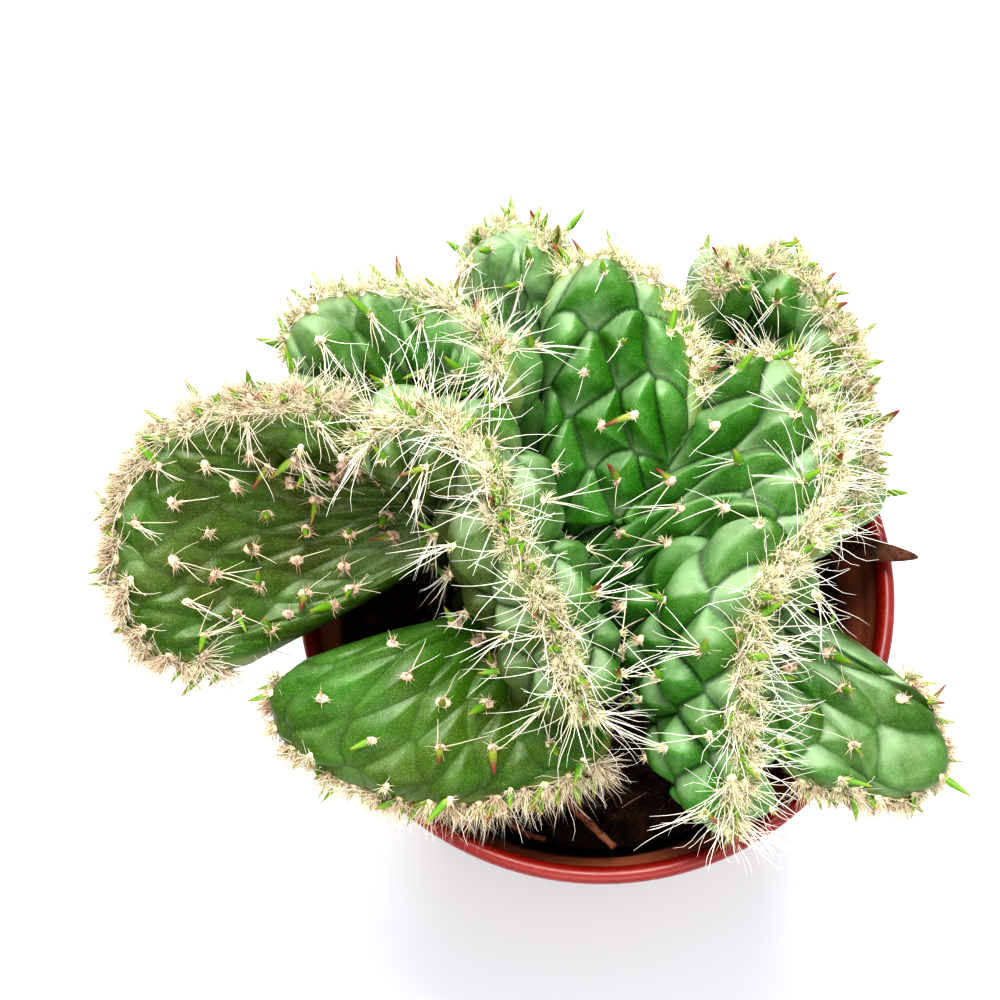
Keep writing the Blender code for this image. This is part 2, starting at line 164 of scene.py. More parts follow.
def between(tree, value, low, high):
    """0 where value is under low, 1 over high, and smooth between them."""
    limits = {"Value": value, "From Min": low, "From Max": high}
    return add(tree, "ShaderNodeMapRange", limits, interpolation_type="SMOOTHSTEP").outputs["Result"]


def attribute(tree, name):
    return add(tree, "ShaderNodeAttribute", attribute_name=name).outputs


def object_place(tree):
    return add(tree, "ShaderNodeTexCoord").outputs["Object"]


print("node helpers are ready")

# %% [markdown]
# ## Helpers for colours and finishes
#
# A finish is built up as paint is: one colour, and then others over it wherever a mask is. A ramp gives a
# colour for each value of a number. The last helper joins the result to the shader, with a bump where there
# is one. Another starts a group of nodes, which several finishes can share.


# %% Colour and finish helpers
def mixed(tree, share, first, second):
    """The first colour with a share of the second one over it."""
    made = add(tree, "ShaderNodeMix", data_type="RGBA")
    for index, value in ((0, share), (6, first), (7, second)):
        if isinstance(value, bpy.types.NodeSocket):
            tree.links.new(value, made.inputs[index])
        else:
            made.inputs[index].default_value = (*value, 1.0) if index else value
    return made.outputs[2]


def tinted(tree, under, mask, strength, over):
    """A colour with another over it where a mask is, at this strength."""
    return mixed(tree, times(tree, mask, strength), under, over)


def ramp(tree, value, stops):
    """A colour for each value: stops are (place, colour)."""
    made = add(tree, "ShaderNodeValToRGB", {"Fac": value})
    points = made.color_ramp.elements
    while len(points) < len(stops):
        points.new(0.5)
    for point, (place, colour) in zip(points, stops):
        point.position = place
        point.color = (*colour, 1.0)
    return made.outputs["Color"]


def finish_of(name, roughness=0.5, **constants):
    """A new material, its tree and its Principled shader, with the sockets that stay the same all over."""
    made = bpy.data.materials.new(name)
    made.use_nodes = True
    shader = made.node_tree.nodes["Principled BSDF"]
    shader.inputs["Roughness"].default_value = roughness
    for socket, value in constants.items():
        shader.inputs[socket.replace("_", " ")].default_value = value
    return made, made.node_tree, shader


def new_group(name, inputs, outputs):
    """A shared group of nodes: its tree, what comes in, and the node that its results go to."""
    tree = bpy.data.node_groups.new(name, "ShaderNodeTree")
    for socket, (kind, value) in inputs.items():
        made = tree.interface.new_socket(socket, in_out="INPUT", socket_type=kind)
        if value is not None:
            made.default_value = value
    for socket, kind in outputs.items():
        tree.interface.new_socket(socket, in_out="OUTPUT", socket_type=kind)
    return tree, tree.nodes.new("NodeGroupInput").outputs, tree.nodes.new("NodeGroupOutput").inputs


def wire(tree, shader, colour, height=None, strength=0.8, distance=0.0004):
    """Joins a colour to a finish's shader, and a bump where a height is given. Its distance is in metres."""
    tree.links.new(colour, shader.inputs["Base Color"])
    if height is not None:
        bump = add(tree, "ShaderNodeBump", {"Height": height, "Strength": strength, "Distance": distance})
        tree.links.new(bump.outputs["Normal"], shader.inputs["Normal"])


print("colour and finish helpers are ready")

# %% [markdown]
# ## Shared surface effects
#
# Two effects come back in several finishes. Grain is soft noise at two sizes, for skin, plastic, wood and
# soil alike. Specks are small round dots: pores in the skin, and mineral grains in the peat.

# %% Build the shared groups
grain_group, grain_in, grain_out = new_group(
    "grain",
    {"Vector": ("NodeSocketVector", None), "Scale": ("NodeSocketFloat", 400.0)},
    {"Mask": "NodeSocketFloat"},
)
grain_coarse = add(
    grain_group,
    "ShaderNodeTexNoise",
    {"Vector": grain_in["Vector"], "Scale": grain_in["Scale"], "Detail": 3.0},
).outputs["Fac"]
grain_fine = add(
    grain_group,
    "ShaderNodeTexNoise",
    {"Vector": grain_in["Vector"], "Scale": times(grain_group, grain_in["Scale"], 4.7), "Detail": 2.0},
).outputs["Fac"]
grain_sum = maths(grain_group, "MULTIPLY_ADD", grain_fine, 0.35, times(grain_group, grain_coarse, 0.65))
grain_group.links.new(grain_sum, grain_out["Mask"])

specks_group, specks_in, specks_out = new_group(
    "specks",
    {
        "Vector": ("NodeSocketVector", None),
        "Scale": ("NodeSocketFloat", 2500.0),
        "Size": ("NodeSocketFloat", 0.3),
    },
    {"Mask": "NodeSocketFloat"},
)
specks_cells = add(
    specks_group, "ShaderNodeTexVoronoi", {"Vector": specks_in["Vector"], "Scale": specks_in["Scale"]}
)
specks_far = maths(specks_group, "DIVIDE", specks_cells.outputs["Distance"], specks_in["Size"])
specks_near = maths(specks_group, "SUBTRACT", 1.0, specks_far, clamp=True)
specks_group.links.new(between(specks_group, specks_near, 0.0, 0.7), specks_out["Mask"])


def grain(tree, place, scale):
    inputs = {"Vector": place, "Scale": scale}
    return add(tree, "ShaderNodeGroup", inputs, node_tree=grain_group).outputs["Mask"]


def specks(tree, place, scale, size):
    inputs = {"Vector": place, "Scale": scale, "Size": size}
    return add(tree, "ShaderNodeGroup", inputs, node_tree=specks_group).outputs["Mask"]


print("groups:", grain_group.name, specks_group.name)

# %% [markdown]
# ## Finished pieces
#
# Every piece ends the same way: its mesh goes from millimetres to metres, its object stays at the origin,
# it rides on the one body, and the solids that it stands for are hidden.


# %% Finish a piece
def finished(made, finish, slot, *nodes):
    """Gives a piece its material, and hides the solids that it stands for. The slot argument is not used."""
    made.data.materials.clear()
    made.data.materials.append(finish)
    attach(made, "root")
    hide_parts(*nodes)
    print(made.name, "has", len(made.data.polygons), "faces")
    return made


def object_from(shape, name, smooth=True):
    """A mesh object from a bmesh in millimetres."""
    bmesh.ops.transform(shape, matrix=Matrix.Scale(MM, 4), verts=shape.verts)
    bmesh.ops.recalc_face_normals(shape, faces=shape.faces)
    mesh = bpy.data.meshes.new(name)
    shape.to_mesh(mesh)
    shape.free()
    if smooth:
        mesh.shade_smooth()
    made = bpy.data.objects.new(name, mesh)
    bpy.context.scene.collection.objects.link(made)
    return made


def apply_modifiers(made):
    """The object's mesh becomes what its modifiers make of it."""
    graph = bpy.context.evaluated_depsgraph_get()
    mesh = bpy.data.meshes.new_from_object(made.evaluated_get(graph))
    made.modifiers.clear()
    made.data = mesh


floor_shape = bmesh.new()
bmesh.ops.create_grid(floor_shape, x_segments=1, y_segments=1, size=FLOOR_SIZE / 2)
floor = object_from(floor_shape, "floor", smooth=False)
floor_finish, floor_tree, floor_shader = finish_of("floor_paper", roughness=0.9)
floor_grain = grain(floor_tree, object_place(floor_tree), 9.0)
wire(floor_tree, floor_shader, mixed(floor_tree, floor_grain, (0.63, 0.648, 0.66), (0.66, 0.672, 0.685)))
floor.data.materials.append(floor_finish)
print("floor is laid")

# %% [markdown]
# ## The fans
#
# Each fan is a sheet between a root line, hidden low in the plant, and a crest line, which is the growing
# edge. Both are smooth curves through a few points. The solid uses the same lines, so the skin fits it, but
# the crests of the left fan and the front right fan are drawn in here by up to 3 mm, as the plant's own are.
# "bow" pushes the sheet sideways halfway up, and "half" is half its thickness at the root and at the crest.
# The three numbers of "green" and of bloom are for the crest, the first side and the second side: how fresh
# the green is, and how much pale wax covers it, which also sets how strong the painted sheen is on the sides
# turned to the light. "spines" says how many an areole has on the crest, under it and lower down, and
# "leaves" how often one has a leaf near the crest and lower down. "reach" says how long the spines are, and
# "warmth" how tan. "cell" gives the tubercles' spacing along and down the fan, "depth" how far they stand
# out, and "crease" how clearly the lines between them show, in painted shade and in bump.

# %% Lay out the fans
FANS = {
    "left_fan": {
        "crest": ((-34, 15, 103), (-50, 15, 101), (-60, 11, 98), (-65, 2, 93), (-64, -8, 87),
                  (-59.5, -14, 83.5), (-51, -16, 82)),
        "root": ((-20, 14, 86), (-22, 7, 85), (-21.5, 0.5, 84)),
        "bow": (0, 0, -3), "half": (4.0, 5.2),
        "green": (0.4, 0.5, 0.05), "bloom_and_sheen": (0.35, 0.5, 0.3),
        "spines": (13, 5, 1), "leaves": (0.45, 0.45), "reach": (3.5, 7.5), "warmth": 0.8,
        "cell": (4.2, 5.6), "depth": 1.0, "crease": 0.35,
    },
    "back_left_fan": {
        "crest": ((-44, 23, 98), (-40, 29, 100), (-32, 32, 102), (-23, 30, 104), (-16, 24, 105),
                  (-13, 16, 105)),
        "root": ((-22, 14, 83), (-15, 15, 83), (-8, 13, 82)),
        "bow": (0, -1, 1), "half": (4.0, 5.0),
        "green": (0.7, 0.8, 0.7), "bloom_and_sheen": (0.5, 0.45, 0.6),
        "spines": (11, 4, 1.5), "leaves": (0.75, 0.4), "reach": (5.0, 9.5), "warmth": 0.3,
        "cell": (5.4, 7.0), "depth": 1.9, "crease": 0.55,
    },
    "centre_ridge": {
        "crest": ((-34, 9, 102), (-26, 12, 106), (-19, 10, 108), (-14, 4, 108), (-11, -5, 105),
                  (-7, -12, 102), (-4, -19, 98), (-1, -27, 92)),
        "root": ((-22, 10, 72), (-18, 4, 71), (-13, -4, 71), (-8, -12, 71)),
        "bow": (1, 0, 0), "half": (6.0, 7.4),
        "green": (0.4, 0.0, 0.8), "bloom_and_sheen": (0.42, 0.44, 0.62),
        "spines": (9, 5, 4), "leaves": (0.45, 0.2), "reach": (5.5, 10.5), "warmth": 0.1,
        "cell": (6.0, 8.2), "depth": 3.0, "crease": 1.0,
    },
    "front_left_fan": {
        "crest": ((-43, -15, 84), (-44, -23, 83), (-36, -29, 82), (-26, -32, 82), (-15, -32, 82),
                  (-5, -30, 84), (2, -27, 86)),
        "root": ((-17, -6, 77), (-9, -10, 76), (-3, -11, 76)),
        "bow": (0, 0, 3), "half": (4.6, 5.0),
        "green": (0.4, 0.3, 0.4), "bloom_and_sheen": (0.35, 0.5, 0.22),
        "spines": (6, 1.2, 0.6), "leaves": (0.9, 0.8), "reach": (4.0, 7.0), "warmth": 0.75,
        "cell": (5.2, 6.4), "depth": 1.2, "crease": 0.4,
    },
    "back_lobe": {
        "crest": ((-20, 38, 97), (-16, 43, 99), (-10, 43, 99), (-5, 38, 99)),
        "root": ((-11, 15, 76), (-5, 15, 75), (1, 15, 77)),
        "bow": (-1, 1, 0), "half": (4.0, 5.4),
        "green": (0.7, 0.7, 0.6), "bloom_and_sheen": (0.7, 0.7, 0.8),
        "spines": (3, 2, 1), "leaves": (1.0, 0.6), "reach": (3.0, 5.5), "warmth": 0.3,
        "cell": (5.4, 6.8), "depth": 1.7, "crease": 0.5,
    },
    "back_fan": {
        "crest": ((-8, 34, 102), (0, 36, 104), (7, 32, 103), (11, 25, 102), (14, 16, 100)),
        "root": ((-9, 7, 80), (-1, 7, 83), (7, 7, 86)),
        "bow": (0, 0, 0), "half": (6.5, 6.2),
        "green": (0.95, 1.0, 0.8), "bloom_and_sheen": (0.5, 0.42, 0.55),
        "spines": (2, 1.2, 0.6), "leaves": (0.6, 0.3), "reach": (3.0, 5.5), "warmth": 0.2,
        "cell": (7.0, 5.8), "depth": 3.2, "crease": 1.0,
    },
    "back_right_fan": {
        "crest": ((15, 36, 95), (23, 41, 96), (31, 37, 95), (36, 28, 93), (38, 18, 90), (38, 10, 87),
                  (35, 5, 86)),
        "root": ((2, 14, 75), (8, 10, 73), (13, 4, 75)),
        "bow": (2, 2, -6), "half": (4.5, 5.6),
        "green": (0.7, 0.75, 0.6), "bloom_and_sheen": (0.5, 0.45, 0.75),
        "spines": (5, 2.5, 1), "leaves": (1.0, 0.6), "reach": (3.5, 6.5), "warmth": 0.4,
        "cell": (5.4, 6.8), "depth": 1.9, "crease": 0.5,
    },
    "right_ridge": {
        "crest": ((17, 24, 98), (23, 23, 100), (28, 16, 101), (29, 7, 102), (26, -3, 103), (19, -10, 102),
                  (17, -20, 98), (17, -29, 93), (16, -36, 88), (16, -41, 85)),
        "root": ((-3, 8, 79), (0, 1, 78), (5, -7, 75), (11, -14, 72)),
        "bow": (0, 0, 0), "half": (5.5, 7.4),
        "green": (0.6, 0.95, 0.6), "bloom_and_sheen": (0.42, 0.42, 0.8),
        "spines": (10, 4, 2), "leaves": (0.65, 0.45), "reach": (5.5, 10.5), "warmth": 0.15,
        "cell": (6.0, 8.2), "depth": 3.0, "crease": 1.0,
    },
    "front_right_fan": {
        "crest": ((25, -31, 83), (31, -31, 82), (37, -32, 80), (42.5, -31.5, 79),
                  (46, -27.5, 79), (44, -21, 80.5), (39.5, -14.5, 83.5)),
        "root": ((15, -14, 81), (18, -9, 81), (19, -3, 82)),
        "bow": (0, 0, 3), "half": (4.0, 4.6),
        "green": (0.5, 0.5, 0.6), "bloom_and_sheen": (0.45, 0.4, 0.5),
        "spines": (3, 2, 1), "leaves": (1.0, 0.8), "reach": (3.5, 6.0), "warmth": 0.75,
        "cell": (6.0, 7.4), "depth": 1.8, "crease": 0.5,
    },
}
FAN_NAMES = list(FANS)
print(len(FANS), "fans:", ", ".join(FANS))

# %% [markdown]
# ## Measuring the fans
#
# A curve through a few points is made smooth by blending four neighbours at a time. It is then measured, so
# that a share of its length gives a place on it. The tubercles' spacing needs the length of each crest and
# the way down from it to the root. That way goes over the round crest, a quarter circle, which is longer
# than its radius by the share CAP_EXTRA. "narrowing" says how much shorter the root is than the crest.

# %% Measure the fans
CAP_EXTRA = 0.57


def smooth_path(points, share):
    """Places at these shares of the length of a smooth curve through the points, and its length."""
    known = np.array(points, float)
    padded = np.vstack([2 * known[0] - known[1], known, 2 * known[-1] - known[-2]])
    t = np.linspace(0, 1, 32, endpoint=False)[:, None]
    spans = [
        0.5 * (2 * b + (c - a) * t + (2 * a - 5 * b + 4 * c - d) * t**2 + (3 * b - a - 3 * c + d) * t**3)
        for a, b, c, d in zip(padded, padded[1:], padded[2:], padded[3:])
    ]
    dense = np.vstack([*spans, known[-1:]])
    run = np.concatenate([[0.0], np.cumsum(np.linalg.norm(np.diff(dense, axis=0), axis=1))])
    places = np.stack([np.interp(np.asarray(share) * run[-1], run, dense[:, k]) for k in range(3)], axis=-1)
    return places, run[-1]


def unit(rows):
    return rows / np.maximum(np.linalg.norm(rows, axis=-1, keepdims=True), 1e-9)


for fan in FANS.values():
    fan["length"] = smooth_path(fan["crest"], [0.0])[1]
    fan["narrowing"] = 1 - smooth_path(fan["root"], [0.0])[1] / fan["length"]
    fan["rise"] = smooth_path(fan["crest"], [0.5])[0][0] - smooth_path(fan["root"], [0.5])[0][0]
    fan["drop"] = np.linalg.norm(fan["rise"]) + CAP_EXTRA * fan["half"][1]
print("crests in mm:", {name: round(fan["length"]) for name, fan in FANS.items()})

# %% [markdown]
# ## The skin's shape
#
# A point of the skin is named by its share along the crest, its share of the way from the crest to the
# root, and its side. The sheet's thickness ends in a round cap at the crest and at both of its ends.
# The tubercles stand in a staggered lattice: columns and rows that are both even, or both odd. A point
# belongs to the nearer of the two kinds, and where it changes over is the crease between two tubercles.
# Each one is a pillow, flat on top and steep at its border, that leans out towards the crest.
# A slow wave bends the lattice, because no plant is quite regular.

# %% Shape the skin
END_SAMPLE = 0.01
ROW_STRETCH = 0.9
ROW_WEIGHT = 0.8
SNOUT = 0.35
MIDDLE_LIFT = 0.62


def fan_surface(fan, u, w, side):
    """Points of a fan's sheet, its outward directions, the mm down from the crest, and its end taper."""
    u, w, side = (np.asarray(part, float) for part in (u, w, side))
    crest, crest_length = smooth_path(fan["crest"], u)
    root = smooth_path(fan["root"], u)[0]
    before, after = np.clip(u - END_SAMPLE, 0, 1), np.clip(u + END_SAMPLE, 0, 1)
    along_crest = smooth_path(fan["crest"], after)[0] - smooth_path(fan["crest"], before)[0]
    along_root = smooth_path(fan["root"], after)[0] - smooth_path(fan["root"], before)[0]
    root_half, crest_half = fan["half"]
    from_end = np.clip((1 - np.abs(2 * u - 1)) * crest_length / 2 / crest_half, 0, 1)
    round_end = np.sqrt(1 - (1 - from_end) ** 2)
    cap_half = crest_half * round_end
    head = crest - unit(crest - root) * crest_half
    flank_length = np.linalg.norm(head - root, axis=-1)
    cap_length = cap_half * math.pi / 2
    down = w * (flank_length + cap_length)
    v = np.clip(1 - (down - cap_length) / flank_length, 0, 1)[..., None]
    bow = np.array(fan["bow"], float) * ((crest - root) ** 2).sum(-1, keepdims=True)
    bow = bow / (fan["rise"] ** 2).sum()
    centre = root + (head - root) * v + bow * 4 * v * (1 - v)
    up = unit(head - root + bow * 4 * (1 - 2 * v))
    across = unit(np.cross(unit(along_root + (along_crest - along_root) * v), up))
    half = (root_half + (crest_half - root_half) * v[..., 0]) * round_end
    lean = np.clip(down / np.maximum(cap_half, 1e-6), 0, math.pi / 2)
    out = across * (np.sin(lean) * side)[..., None] + up * np.cos(lean)[..., None]
    return centre + out * half[..., None], out, down, round_end


def lattice_size(fan):
    """How many columns and rows of tubercles a fan has."""
    column, row = fan["cell"]
    return 2 * round(fan["length"] / column / 2), round(fan["drop"] / row)


def lattice_bend(column, row, side, seed):
    """The slow wave that shifts the lattice, in columns and in rows."""
    phase = seed * 1.7 + side * np.minimum(row, 1.5) * 0.8
    shift = 0.17 * np.sin(1.1 * column + 0.7 * row + phase)
    shift += 0.1 * np.sin(0.47 * column - 1.9 * row + 2.3 * phase)
    slide = 0.16 * np.sin(0.8 * column - 1.2 * row + 1.9 * phase) * np.minimum(row, 1.0)
    return shift, slide


def lattice(name, u, w, side):
    columns, rows = lattice_size(FANS[name])
    column, row = np.asarray(u) * columns, rows * np.asarray(w) ** ROW_STRETCH
    shift, slide = lattice_bend(column, row, side, FAN_NAMES.index(name))
    return column + shift, row + slide


def skin(name, u, w, side):
    """Points of the skin with its tubercles, outward directions, lattice numbers and mm from the crest."""
    fan = FANS[name]
    points, out, down, round_end = fan_surface(fan, u, w, side)
    column, row = lattice(name, u, w, side)
    from_even = column - 2 * np.round(column / 2), row - 2 * np.round(row / 2)
    from_odd = column - 1 - 2 * np.round((column - 1) / 2), row - 1 - 2 * np.round((row - 1) / 2)
    border = (1 + ROW_WEIGHT) / 2 - np.abs(from_even[0]) - ROW_WEIGHT * np.abs(from_even[1])
    row_offset = np.where(border > 0, from_even[1], from_odd[1])
    inward = np.abs(border) / ((1 + ROW_WEIGHT) / 2)
    pillow = (1 - (1 - inward) ** 2) ** 0.9 * (1 - np.abs(row_offset) ** 4)
    pillow *= 1 - SNOUT * row_offset
    width = 1 - np.asarray(w) * fan["narrowing"]
    depth = fan["depth"] * np.clip(0.25 + down / 6.0, 0, 1) * np.clip(width * 1.2, 0.3, 1) * round_end
    swell = 0.35 * np.sin(u * fan["length"] / 7.0 + w * 5.0 + FAN_NAMES.index(name)) * round_end
    lift = depth * (pillow - MIDDLE_LIFT) + swell
    return points + out * lift[..., None], out, np.stack([column, row], axis=-1), down


print("tubercle columns and rows:", {name: lattice_size(fan) for name, fan in FANS.items()})

# %% [markdown]
# ## Growing the body
#
# Each fan starts as a flat grid. It is wrapped round the sheet, from the root up one side, over the crest
# and down the other side, and each vertex moves to its place by the formula above. The stem base, which is
# all but hidden, is a profile turned round Z and flattened a little from front to back. Each point is kept
# as a sample, with its lattice numbers and its looks, for a later cell.

# %% Grow the fans and the stem
SKIN_STEP_ALONG = 0.52
SKIN_STEP_DOWN = 0.68
STEM_CENTRE = (-3.0, 0.0)
STEM_PROFILE = ((0, 82), (11, 80), (16.5, 75), (16, 69), (12.5, 61), (9.5, 53), (5, 46), (0, 45))
STEM_DEPTH_SHARE = 0.86
STEM_SIDES = 48
skin_samples = {"place": [], "lattice": [], "look": []}


def look_of_side(trio, side, w):
    """The value for the crest, which passes into the value for its side."""
    crest, first, second = trio
    return crest + (np.where(side > 0, first, second) - crest) * np.clip(np.asarray(w) * 3.0, 0, 1)


def grow_fan(name):
    fan = FANS[name]
    across = round(fan["length"] / SKIN_STEP_ALONG)
    down = round(fan["drop"] / SKIN_STEP_DOWN)
    around = 2 * down + 1
    shape = bmesh.new()
    bmesh.ops.create_grid(shape, x_segments=across, y_segments=around, size=0.5)
    flat = np.array([vert.co for vert in shape.verts])
    u = np.round((flat[:, 0] + 0.5) * across) / across
    wrapped = np.round((flat[:, 1] + 0.5) * around).astype(int) % around - down
    w, side = np.abs(wrapped) / down, np.where(wrapped >= 0, 1.0, -1.0)
    points, _, numbers, from_crest = skin(name, u, w, side)
    for vert, point in zip(shape.verts, points):
        vert.co = point
    look = [look_of_side(fan["green"], side, w), look_of_side(fan["bloom_and_sheen"], side, w), from_crest]
    skin_samples["place"].append(points)
    skin_samples["lattice"].append(np.column_stack([numbers, np.full(len(u), fan["crease"])]))
    skin_samples["look"].append(np.column_stack(look))
    bmesh.ops.remove_doubles(shape, verts=shape.verts, dist=0.004)
    return object_from(shape, name)


def turned(outline, sides):
    """A closed shape turned round Z from (radius, height) points, which start and end on the axis."""
    shape = bmesh.new()
    points = [shape.verts.new((radius, 0.0, height)) for radius, height in outline]
    edges = [shape.edges.new(pair) for pair in zip(points, points[1:])]
    bmesh.ops.spin(
        shape, geom=points + edges, cent=(0, 0, 0), axis=(0, 0, 1),
        angle=math.tau, steps=sides, use_merge=True,
    )
    bmesh.ops.remove_doubles(shape, verts=shape.verts, dist=0.001)
    return shape


stem_shape = turned(STEM_PROFILE, STEM_SIDES)
for vert in stem_shape.verts:
    vert.co.y *= STEM_DEPTH_SHARE
bmesh.ops.translate(stem_shape, verts=stem_shape.verts, vec=(*STEM_CENTRE, 0.0))
stem_points = np.array([vert.co for vert in stem_shape.verts])
skin_samples["place"].append(stem_points)
skin_samples["lattice"].append(np.tile([0.0, 0.0, 0.8], (len(stem_points), 1)))
skin_samples["look"].append(np.tile([0.0, 0.2, 60.0], (len(stem_points), 1)))
body = object_from(stem_shape, "cactus_skin")
grown_fans = [grow_fan(name) for name in FANS]
print("grown:", len(grown_fans), "fans on a stem of", len(stem_points), "points")

# %% [markdown]
# ## Joining the body
#
# The fans and the stem base are joined by one Boolean union, because the plant grew as one piece and its
# skin is closed. Where two fans touch in several places, the union can leave small pockets shut in between
# them. Nobody can see those, so only the largest connected piece of the skin is kept.


# %% Join the body
def join_all(made, others):
    """One Boolean union of an object with others, which are then removed."""
    group = bpy.data.collections.new("joined")
    bpy.context.scene.collection.children.link(group)
    for other in others:
        group.objects.link(other)
        bpy.context.scene.collection.objects.unlink(other)
    union = made.modifiers.new("union", "BOOLEAN")
    union.operation = "UNION"
    union.operand_type = "COLLECTION"
    union.collection = group
    union.solver = "MANIFOLD"
    apply_modifiers(made)
    for other in others:
        bpy.data.objects.remove(other)
    bpy.data.collections.remove(group)


def keep_outer_skin(made):
    """Drops the small pockets that are shut in between two fans."""
    shape = bmesh.new()
    shape.from_mesh(made.data)
    unseen, pieces = set(shape.faces), []
    while unseen:
        piece, edge_of_piece = [], [unseen.pop()]
        while edge_of_piece:
            face = edge_of_piece.pop()
            piece.append(face)
            near = {other for edge in face.edges for other in edge.link_faces if other in unseen}
            unseen -= near
            edge_of_piece.extend(near)
        pieces.append(piece)
    pieces.sort(key=len)
    for piece in pieces[:-1]:
        bmesh.ops.delete(shape, geom=piece, context="FACES")
    shape.to_mesh(made.data)
    shape.free()


join_all(body, grown_fans)
keep_outer_skin(body)
body.data.shade_smooth()
print("the skin has", len(body.data.vertices), "vertices")

# %% [markdown]
# ## Marking the skin
#
# The union keeps no record of where a vertex came from. A search for the nearest sample therefore gives each
# vertex its lattice numbers, its greenness, its share of bloom and painted sheen, and how far it is from the
# crest. A last mark says how much the skin is turned up and to the back left, towards the window light,
# where the material paints a pale sheen over it. The material reads them all.

# %% Mark the skin
SHEEN_SIDE = (-0.35, 0.45, 0.82)
sample = {key: np.concatenate(rows) for key, rows in skin_samples.items()}
sample_tree = KDTree(len(sample["place"]))
for index, place in enumerate(sample["place"]):
    sample_tree.insert(place, index)
sample_tree.balance()
nearest = [sample_tree.find(vert.co / MM)[1] for vert in body.data.vertices]
# How much each vertex faces the window light, for a painted sheen in the skin's colour.
sheen_facing = np.array([vert.normal for vert in body.data.vertices]) @ np.array(SHEEN_SIDE)
sheen_facing_marks = body.data.attributes.new("sheen_facing", "FLOAT", "POINT")
sheen_facing_marks.data.foreach_set("value", np.clip(sheen_facing, 0, 1).astype(np.float32))
for key in ("lattice", "look"):
    marks = body.data.attributes.new(key, "FLOAT_VECTOR", "POINT")
    marks.data.foreach_set("vector", sample[key][nearest].astype(np.float32).ravel())
print("marked", len(nearest), "vertices from", len(sample["place"]), "samples")

# %% [markdown]
# ## The skin's finish
#
# The real skin is green flesh under a thin wax. Four things make it read as skin and not as plastic. The
# green runs from olive to emerald. Thin creases between the tubercles get painted shade. A pale bloom of
# wax gathers on the lower part of each tubercle, and the same pale colour is painted on as a sheen on the
# sides that are turned up and back, towards the window light, which the cell above marked. Fine pale pores
# are all over it.
# The crease lines come from the lattice numbers, by the same rule as the shape's own creases: a ping-pong
# gives how far a point is from the nearest even column or row.

# %% Finish the skin
skin_finish, skin_tree, skin_shader = finish_of("waxy_skin", roughness=0.42, Specular_IOR_Level=0.24)
skin_place = object_place(skin_tree)
numbers, looks = (
    add(skin_tree, "ShaderNodeSeparateXYZ", {"Vector": attribute(skin_tree, key)["Vector"]}).outputs
    for key in ("lattice", "look")
)
greenness, bloom_and_sheen_share, from_crest = looks["X"], looks["Y"], looks["Z"]

even_column = maths(skin_tree, "PINGPONG", numbers["X"], 1.0)
even_row = maths(skin_tree, "PINGPONG", numbers["Y"], 1.0)
weighed = maths(skin_tree, "MULTIPLY_ADD", ROW_WEIGHT, maths(skin_tree, "SUBTRACT", 0.5, even_row), 0.5)
change_over = maths(skin_tree, "SUBTRACT", weighed, even_column)
is_even = maths(skin_tree, "GREATER_THAN", change_over, 0.0)
odd_offset = maths(skin_tree, "WRAP", maths(skin_tree, "SUBTRACT", numbers["Y"], 1.0), -1.0, 1.0)
even_offset = maths(skin_tree, "WRAP", numbers["Y"], -1.0, 1.0)
row_difference = maths(skin_tree, "SUBTRACT", even_offset, odd_offset)
row_offset = maths(skin_tree, "MULTIPLY_ADD", is_even, row_difference, odd_offset)
row_border = left_from_one(skin_tree, maths(skin_tree, "ABSOLUTE", row_offset))
to_border = maths(skin_tree, "MINIMUM", maths(skin_tree, "ABSOLUTE", change_over), row_border)
thin_line = left_from_one(skin_tree, between(skin_tree, to_border, 0.0, 0.11))
crease = times(skin_tree, thin_line, numbers["Z"])
lower_part = times(skin_tree, between(skin_tree, row_offset, 0.05, 0.95), numbers["Z"])
patches = grain(skin_tree, skin_place, 110.0)
regions = grain(skin_tree, skin_place, 38.0)
pores = specks(skin_tree, skin_place, 4600.0, 0.42)
fine_grain = grain(skin_tree, skin_place, 900.0)

olive = mixed(skin_tree, patches, (0.011, 0.024, 0.001), (0.075, 0.100, 0.004))
emerald = mixed(skin_tree, patches, (0.006, 0.055, 0.002), (0.050, 0.240, 0.012))
region_drift = maths(skin_tree, "MULTIPLY_ADD", regions, 2.4, -1.2)
freshness = maths(skin_tree, "ADD", greenness, region_drift, clamp=True)
flesh = mixed(skin_tree, freshness, olive, emerald)
bloom_drift = maths(skin_tree, "MULTIPLY_ADD", patches, 2.2, -0.3)
# Painted sheen: the pale wax colour is laid on more where the skin faces the window light.
facing_sheen_side = between(skin_tree, attribute(skin_tree, "sheen_facing")["Fac"], 0.55, 1.0)
bloom_and_sheen_turned = maths(skin_tree, "MULTIPLY_ADD", facing_sheen_side, 0.9, bloom_drift)
bloom_and_sheen_pooled = maths(skin_tree, "MULTIPLY_ADD", lower_part, 0.9, bloom_and_sheen_turned)
bloom_and_sheen_full = between(skin_tree, times(skin_tree, bloom_and_sheen_share, bloom_and_sheen_pooled), 0.2, 1.1)
bloom_and_sheen = times(skin_tree, bloom_and_sheen_full, 0.75)
waxed_and_sheened = mixed(skin_tree, bloom_and_sheen, flesh, (0.33, 0.44, 0.27))
pored = tinted(skin_tree, waxed_and_sheened, pores, 0.2, (0.50, 0.58, 0.20))
